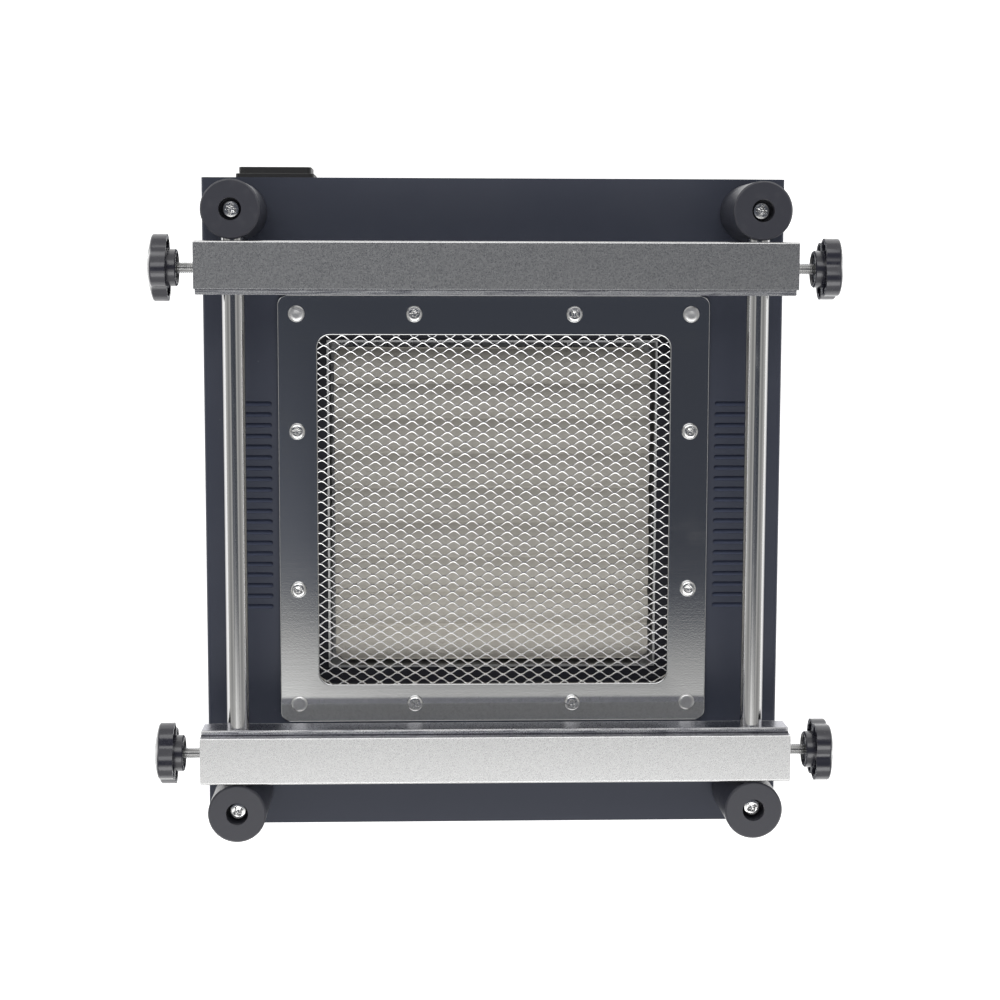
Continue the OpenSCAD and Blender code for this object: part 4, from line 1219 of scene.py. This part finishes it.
@dataclass
class ClampFrame:
    """Posts, rods, clamp bars, studs and star knobs."""

    post_x: float = 94.0
    post_y: float = 108.5
    post_top: float = 104.0
    post_well: float = 7.0
    post_edge: float = 0.4
    post_screw: ScrewSize = ScrewSize(3.4, 2.7, 2.0, 32.9)
    rod_z: float = 94.5
    rod_r: float = 4.0
    play: float = 0.05
    end_cut: float = 0.294
    brow_r: float = 0.7
    bar_edge: float = 0.36
    stud_in: float = 98.05
    stud_out: float = 120.4
    stud_r: float = 2.0
    stud_play: float = 0.01
    thread_d: float = 0.4
    pitch: float = 0.7
    knob_x: float = 113.6
    knob_t: float = 7.5
    knob_r: float = 12.0
    knob_edge: float = 0.3
    bore_room: float = 0.2
    dome: float = 2.2
    hub_r: float = 6.65
    hub_l: float = 3.2
    hub_rim: float = 1.0
    hub_edge: float = 0.4
    recess: float = 0.7
    recess_slope: float = 0.2
    lobes: int = 4
    lobe_r: float = 6.3
    lobe_steps: int = 8
    flute_r: float = 4.0
    flute_steps: int = 3
    pocket_r: float = 1.85
    pocket_at: float = 8.5
    pocket_d: float = 3.5
    pocket_turn: float = 20.0
    leans: dict[tuple[End, Side], float] = field(default_factory=lambda: {
        (End.REAR, Side.LEFT): -6.0, (End.REAR, Side.RIGHT): -35.0,
        (End.FRONT, Side.LEFT): -19.5, (End.FRONT, Side.RIGHT): 42.0,
    })

    def build(self) -> None:
        """Builds and dresses the clamp frame."""
        dress(FINISHES.chrome, "rod_left", "rod_right")
        for end in End:
            for side in Side:
                post = f"post_{end.word}_{side.word}"
                soften_node(post, f"turned_{post}", "housing", "post_black", FINISHES.post, self.post_edge)
        self.build_post_screws()
        knob = self.knob()
        stud = self.stud()
        for end in End:
            self.build_bar(end)
            for side in Side:
                self.place_clamp(stud, knob, end, side)
        for pattern in (knob, stud):
            bpy.data.objects.remove(pattern.obj)

    def build_post_screws(self) -> None:
        """Screws at the bottom of the posts' wells, each driven to another angle."""
        seat = self.post_top - self.post_well
        spots = [(side.value * self.post_x, end.value * self.post_y, seat) for side in Side for end in End]
        places = [(spot, turned(0.5 + 0.8 * k)) for k, spot in enumerate(spots)]
        screws = pan_screw(self.post_screw).scatter("post_screw_set", places)
        screws.done("housing", "screw_steel", FINISHES.zinc, ["post_screws"])

    @staticmethod
    def on_brow(at: Vector, way: Vector) -> bool:
        """Whether an edge of the bar is the long outer one along its top."""
        return abs(way.x) > FACING and at.y > BAR.outer - NEAR and at.z > BAR.ledge_z + NEAR

    def build_bar(self, end: End) -> None:
        """One stepped clamp bar, bored for its rods and studs."""
        node = f"{end.word}_bar"
        half = BAR.length / 2
        low, high = (-half, BAR.inner, BAR.foot_z), (half, BAR.outer, BAR.ledge_z)
        bar = Shape.block(f"{end.word}_clamp_bar", low, high)
        with bar.editing():
            select_mesh()
            bpy.ops.mesh.bisect(plane_co=(0, BAR.step * MM, 0), plane_no=(0, 1, 0))
            bar.pick(Element.FACE, lambda at, normal: normal.z > FACING and at.y > BAR.step)
            lift(BAR.height - BAR.ledge_h)
            bar.pick(Element.EDGE, lambda at, way: abs(way.z) > FACING and at.y < BAR.inner + NEAR)
            bpy.ops.mesh.bevel(offset=self.end_cut * MM, segments=1, affect="EDGES")
            bar.pick(Element.EDGE, self.on_brow)
            bpy.ops.mesh.bevel(offset=self.brow_r * MM, segments=4, affect="EDGES")
        for side in Side:
            x = side.value * self.post_x
            rod = Shape.drum("rod_bore", self.rod_r + self.play, -OVER, BAR.width + OVER, 64)
            bar.cut(rod.move((x, BAR.inner, self.rod_z), turned(-math.pi / 2, "X")))
            bore = Shape.drum("stud_bore", self.stud_r + self.play, 0, half, 32)
            bar.cut(bore.move((x, BAR.middle, self.rod_z), turned(side.value * math.pi / 2, "Y")))
        bar.soften(self.bar_edge)
        if end is End.FRONT:
            bar.move((0, 0, 0), turned(math.pi))
        bar.done(node, "bar_aluminium", FINISHES.bar, [node], smooth=30)

    def stud(self) -> Shape:
        """A threaded stud along Z from the origin."""
        length = self.stud_out - self.stud_in
        crest = self.stud_r - self.stud_play
        root = self.stud_r - self.thread_d
        turns = math.ceil(length / self.pitch) + 2
        tooth = ((root, 0), (root, 0.1), (crest, 0.45), (crest, 0.6), (root, 0.95))
        stud = Shape.line("stud", [(r, 0, share * self.pitch) for r, share in tooth])
        stud.modify(
            "SCREW", angle=2 * math.pi, screw_offset=self.pitch * MM, iterations=turns, steps=20,
            render_steps=20, use_merge_vertices=True, merge_threshold=1e-6, use_smooth_shade=False,
        )
        stud.move((0, 0, -self.pitch))
        with stud.editing():
            for z, way in ((0, -1), (length * MM, 1)):
                select_mesh()
                bpy.ops.mesh.bisect(plane_co=(0, 0, z), plane_no=(0, 0, way), clear_outer=True, use_fill=True)
        stud.clean()
        return stud

    def star(self) -> list[Point]:
        """Outline of the knob's head: round lobes joined by round flutes."""
        at = self.knob_r - self.lobe_r
        half = math.pi / self.lobes
        reach = self.lobe_r + self.flute_r
        flute_at = at * math.cos(half) + math.sqrt(reach ** 2 - (at * math.sin(half)) ** 2)
        lean = math.atan2(flute_at * math.sin(half), flute_at * math.cos(half) - at)
        sweep = lean - half
        points = []
        for k in range(self.lobes):
            out = 2 * half * k
            lobe = polar(at, out)
            for t in range(-self.lobe_steps, self.lobe_steps + 1):
                points.append(polar(self.lobe_r, out + lean * t / self.lobe_steps, lobe))
            flute = polar(flute_at, out + half)
            back = out + half + math.pi
            for t in range(1 - self.flute_steps, self.flute_steps):
                points.append(polar(self.flute_r, back - sweep * t / self.flute_steps, flute))
        return points

    def knob(self) -> Shape:
        """A star knob along Z, with the foot of its hub at the origin."""
        knob = Shape.line("knob", self.star(), closed=True)
        wall_h = self.knob_t - self.dome
        with knob.editing():
            select_mesh()
            # Rings of the head, as a share of its outline and a height: the rounded wall, then the dome
            rings = [(1.0, wall_h - 0.5), (0.985, wall_h - 0.1), (0.95, wall_h + 0.22)]
            rings += [(s, wall_h + self.dome * (1 - s * s)) for s in (0.86, 0.72, 0.54, 0.34, 0.14)]
            share, height = 1.0, 0.0
            for new_share, new_height in rings:
                lift(new_height - height)
                size = new_share / share
                bpy.ops.transform.resize(value=(size, size, 1), center_override=(0, 0, 0))
                share, height = new_share, new_height
        knob.clean()
        knob.move((0, 0, self.hub_l))
        rim = self.hub_r - self.hub_rim
        foot = [(0, self.recess), (rim - self.recess_slope, self.recess), (rim, 0.0)]
        top = self.hub_l + OVER
        barrel = [(self.hub_r - self.hub_edge, 0.0), (self.hub_r, self.hub_edge), (self.hub_r, top), (0, top)]
        knob.fuse(Shape.lathe("hub", [*foot, *barrel]))
        for k in range(self.lobes):
            for turn in (-self.pocket_turn, 0, self.pocket_turn):
                way = 2 * math.pi * k / self.lobes + math.radians(turn)
                floor = self.hub_l + self.pocket_d
                pocket = Shape.drum("pocket", self.pocket_r, self.hub_l - OVER, floor, 20)
                knob.cut(pocket.move(polar(self.pocket_at, way)))
        bore_end = self.stud_out - self.knob_x + self.bore_room
        knob.cut(Shape.drum("bore", self.stud_r + self.play, -OVER, bore_end, 32))
        knob.soften(self.knob_edge, angle=50)
        return knob

    def place_clamp(self, stud: Shape, knob: Shape, end: End, side: Side) -> None:
        """Sets a stud and its knob in one end of a bar."""
        middle = BAR.middle * end.value
        turn = turned(side.value * math.pi / 2, "Y")
        name = f"{end.word}_{side.word}"
        threaded = stud.twin(f"threaded_stud_{name}")
        threaded.move((side.value * self.stud_in, middle, self.rod_z), turn)
        threaded.done(f"stud_{name}", "screw_steel", FINISHES.stud, [f"stud_{name}"], smooth=25)
        lean = math.radians(self.leans[end, side])
        star = knob.twin(f"star_knob_{name}")
        star.move((side.value * self.knob_x, middle, self.rod_z), turn @ turned(-side.value * lean))
        star.done(f"knob_{name}", "knob_plastic", FINISHES.knob, [f"knob_{name}"], smooth=40)


@dataclass
class FrontPanel:
    """Display, buttons and power switch in the front wall."""

    edge: float = 0.3

    def build(self) -> None:
        """Dresses the controls."""
        soften_node("display_window", "display_lens", "housing", "display_lens", FINISHES.lens, self.edge)
        for key in ("set", "up", "down"):
            button = f"button_{key}"
            soften_node(button, f"{key}_key", button, "button_grey", FINISHES.button, self.edge)
        soften_node("switch_body", "switch_bezel", "housing", "switch_black", FINISHES.black, self.edge)
        soften_node("switch_rocker", "red_rocker", "switch_rocker", "rocker_red", FINISHES.rocker, self.edge)
        dress(FINISHES.black, "display_module", "tact_switches")
        dress(FINISHES.laminate, "control_board")
        dress(FINISHES.brass, "board_standoffs")


@dataclass
class MainsSide:
    """Inlet in the back wall and the parts wired to it."""

    edge: float = 0.3

    def build(self) -> None:
        """Dresses the inlet and the parts behind the heater."""
        soften_node("inlet_body", "inlet_shell", "housing", "switch_black", FINISHES.black, self.edge)
        dress(FINISHES.brass, "inlet_pins", "earth_stud", "earth_nut")
        dress(FINISHES.pale, "terminal_block", "solid_state_relay")


def main() -> None:
    """Builds the scene."""
    logging.basicConfig(level=logging.INFO, format="%(message)s", stream=sys.stdout)
    bpy.context.scene.view_settings.view_transform = "Standard"
    for part in (Studio(), Housing(), HeaterBed(), ClampFrame(), FrontPanel(), MainsSide()):
        LOG.info("building %s", type(part).__name__)
        part.build()


if __name__ == "__main__":
    main()
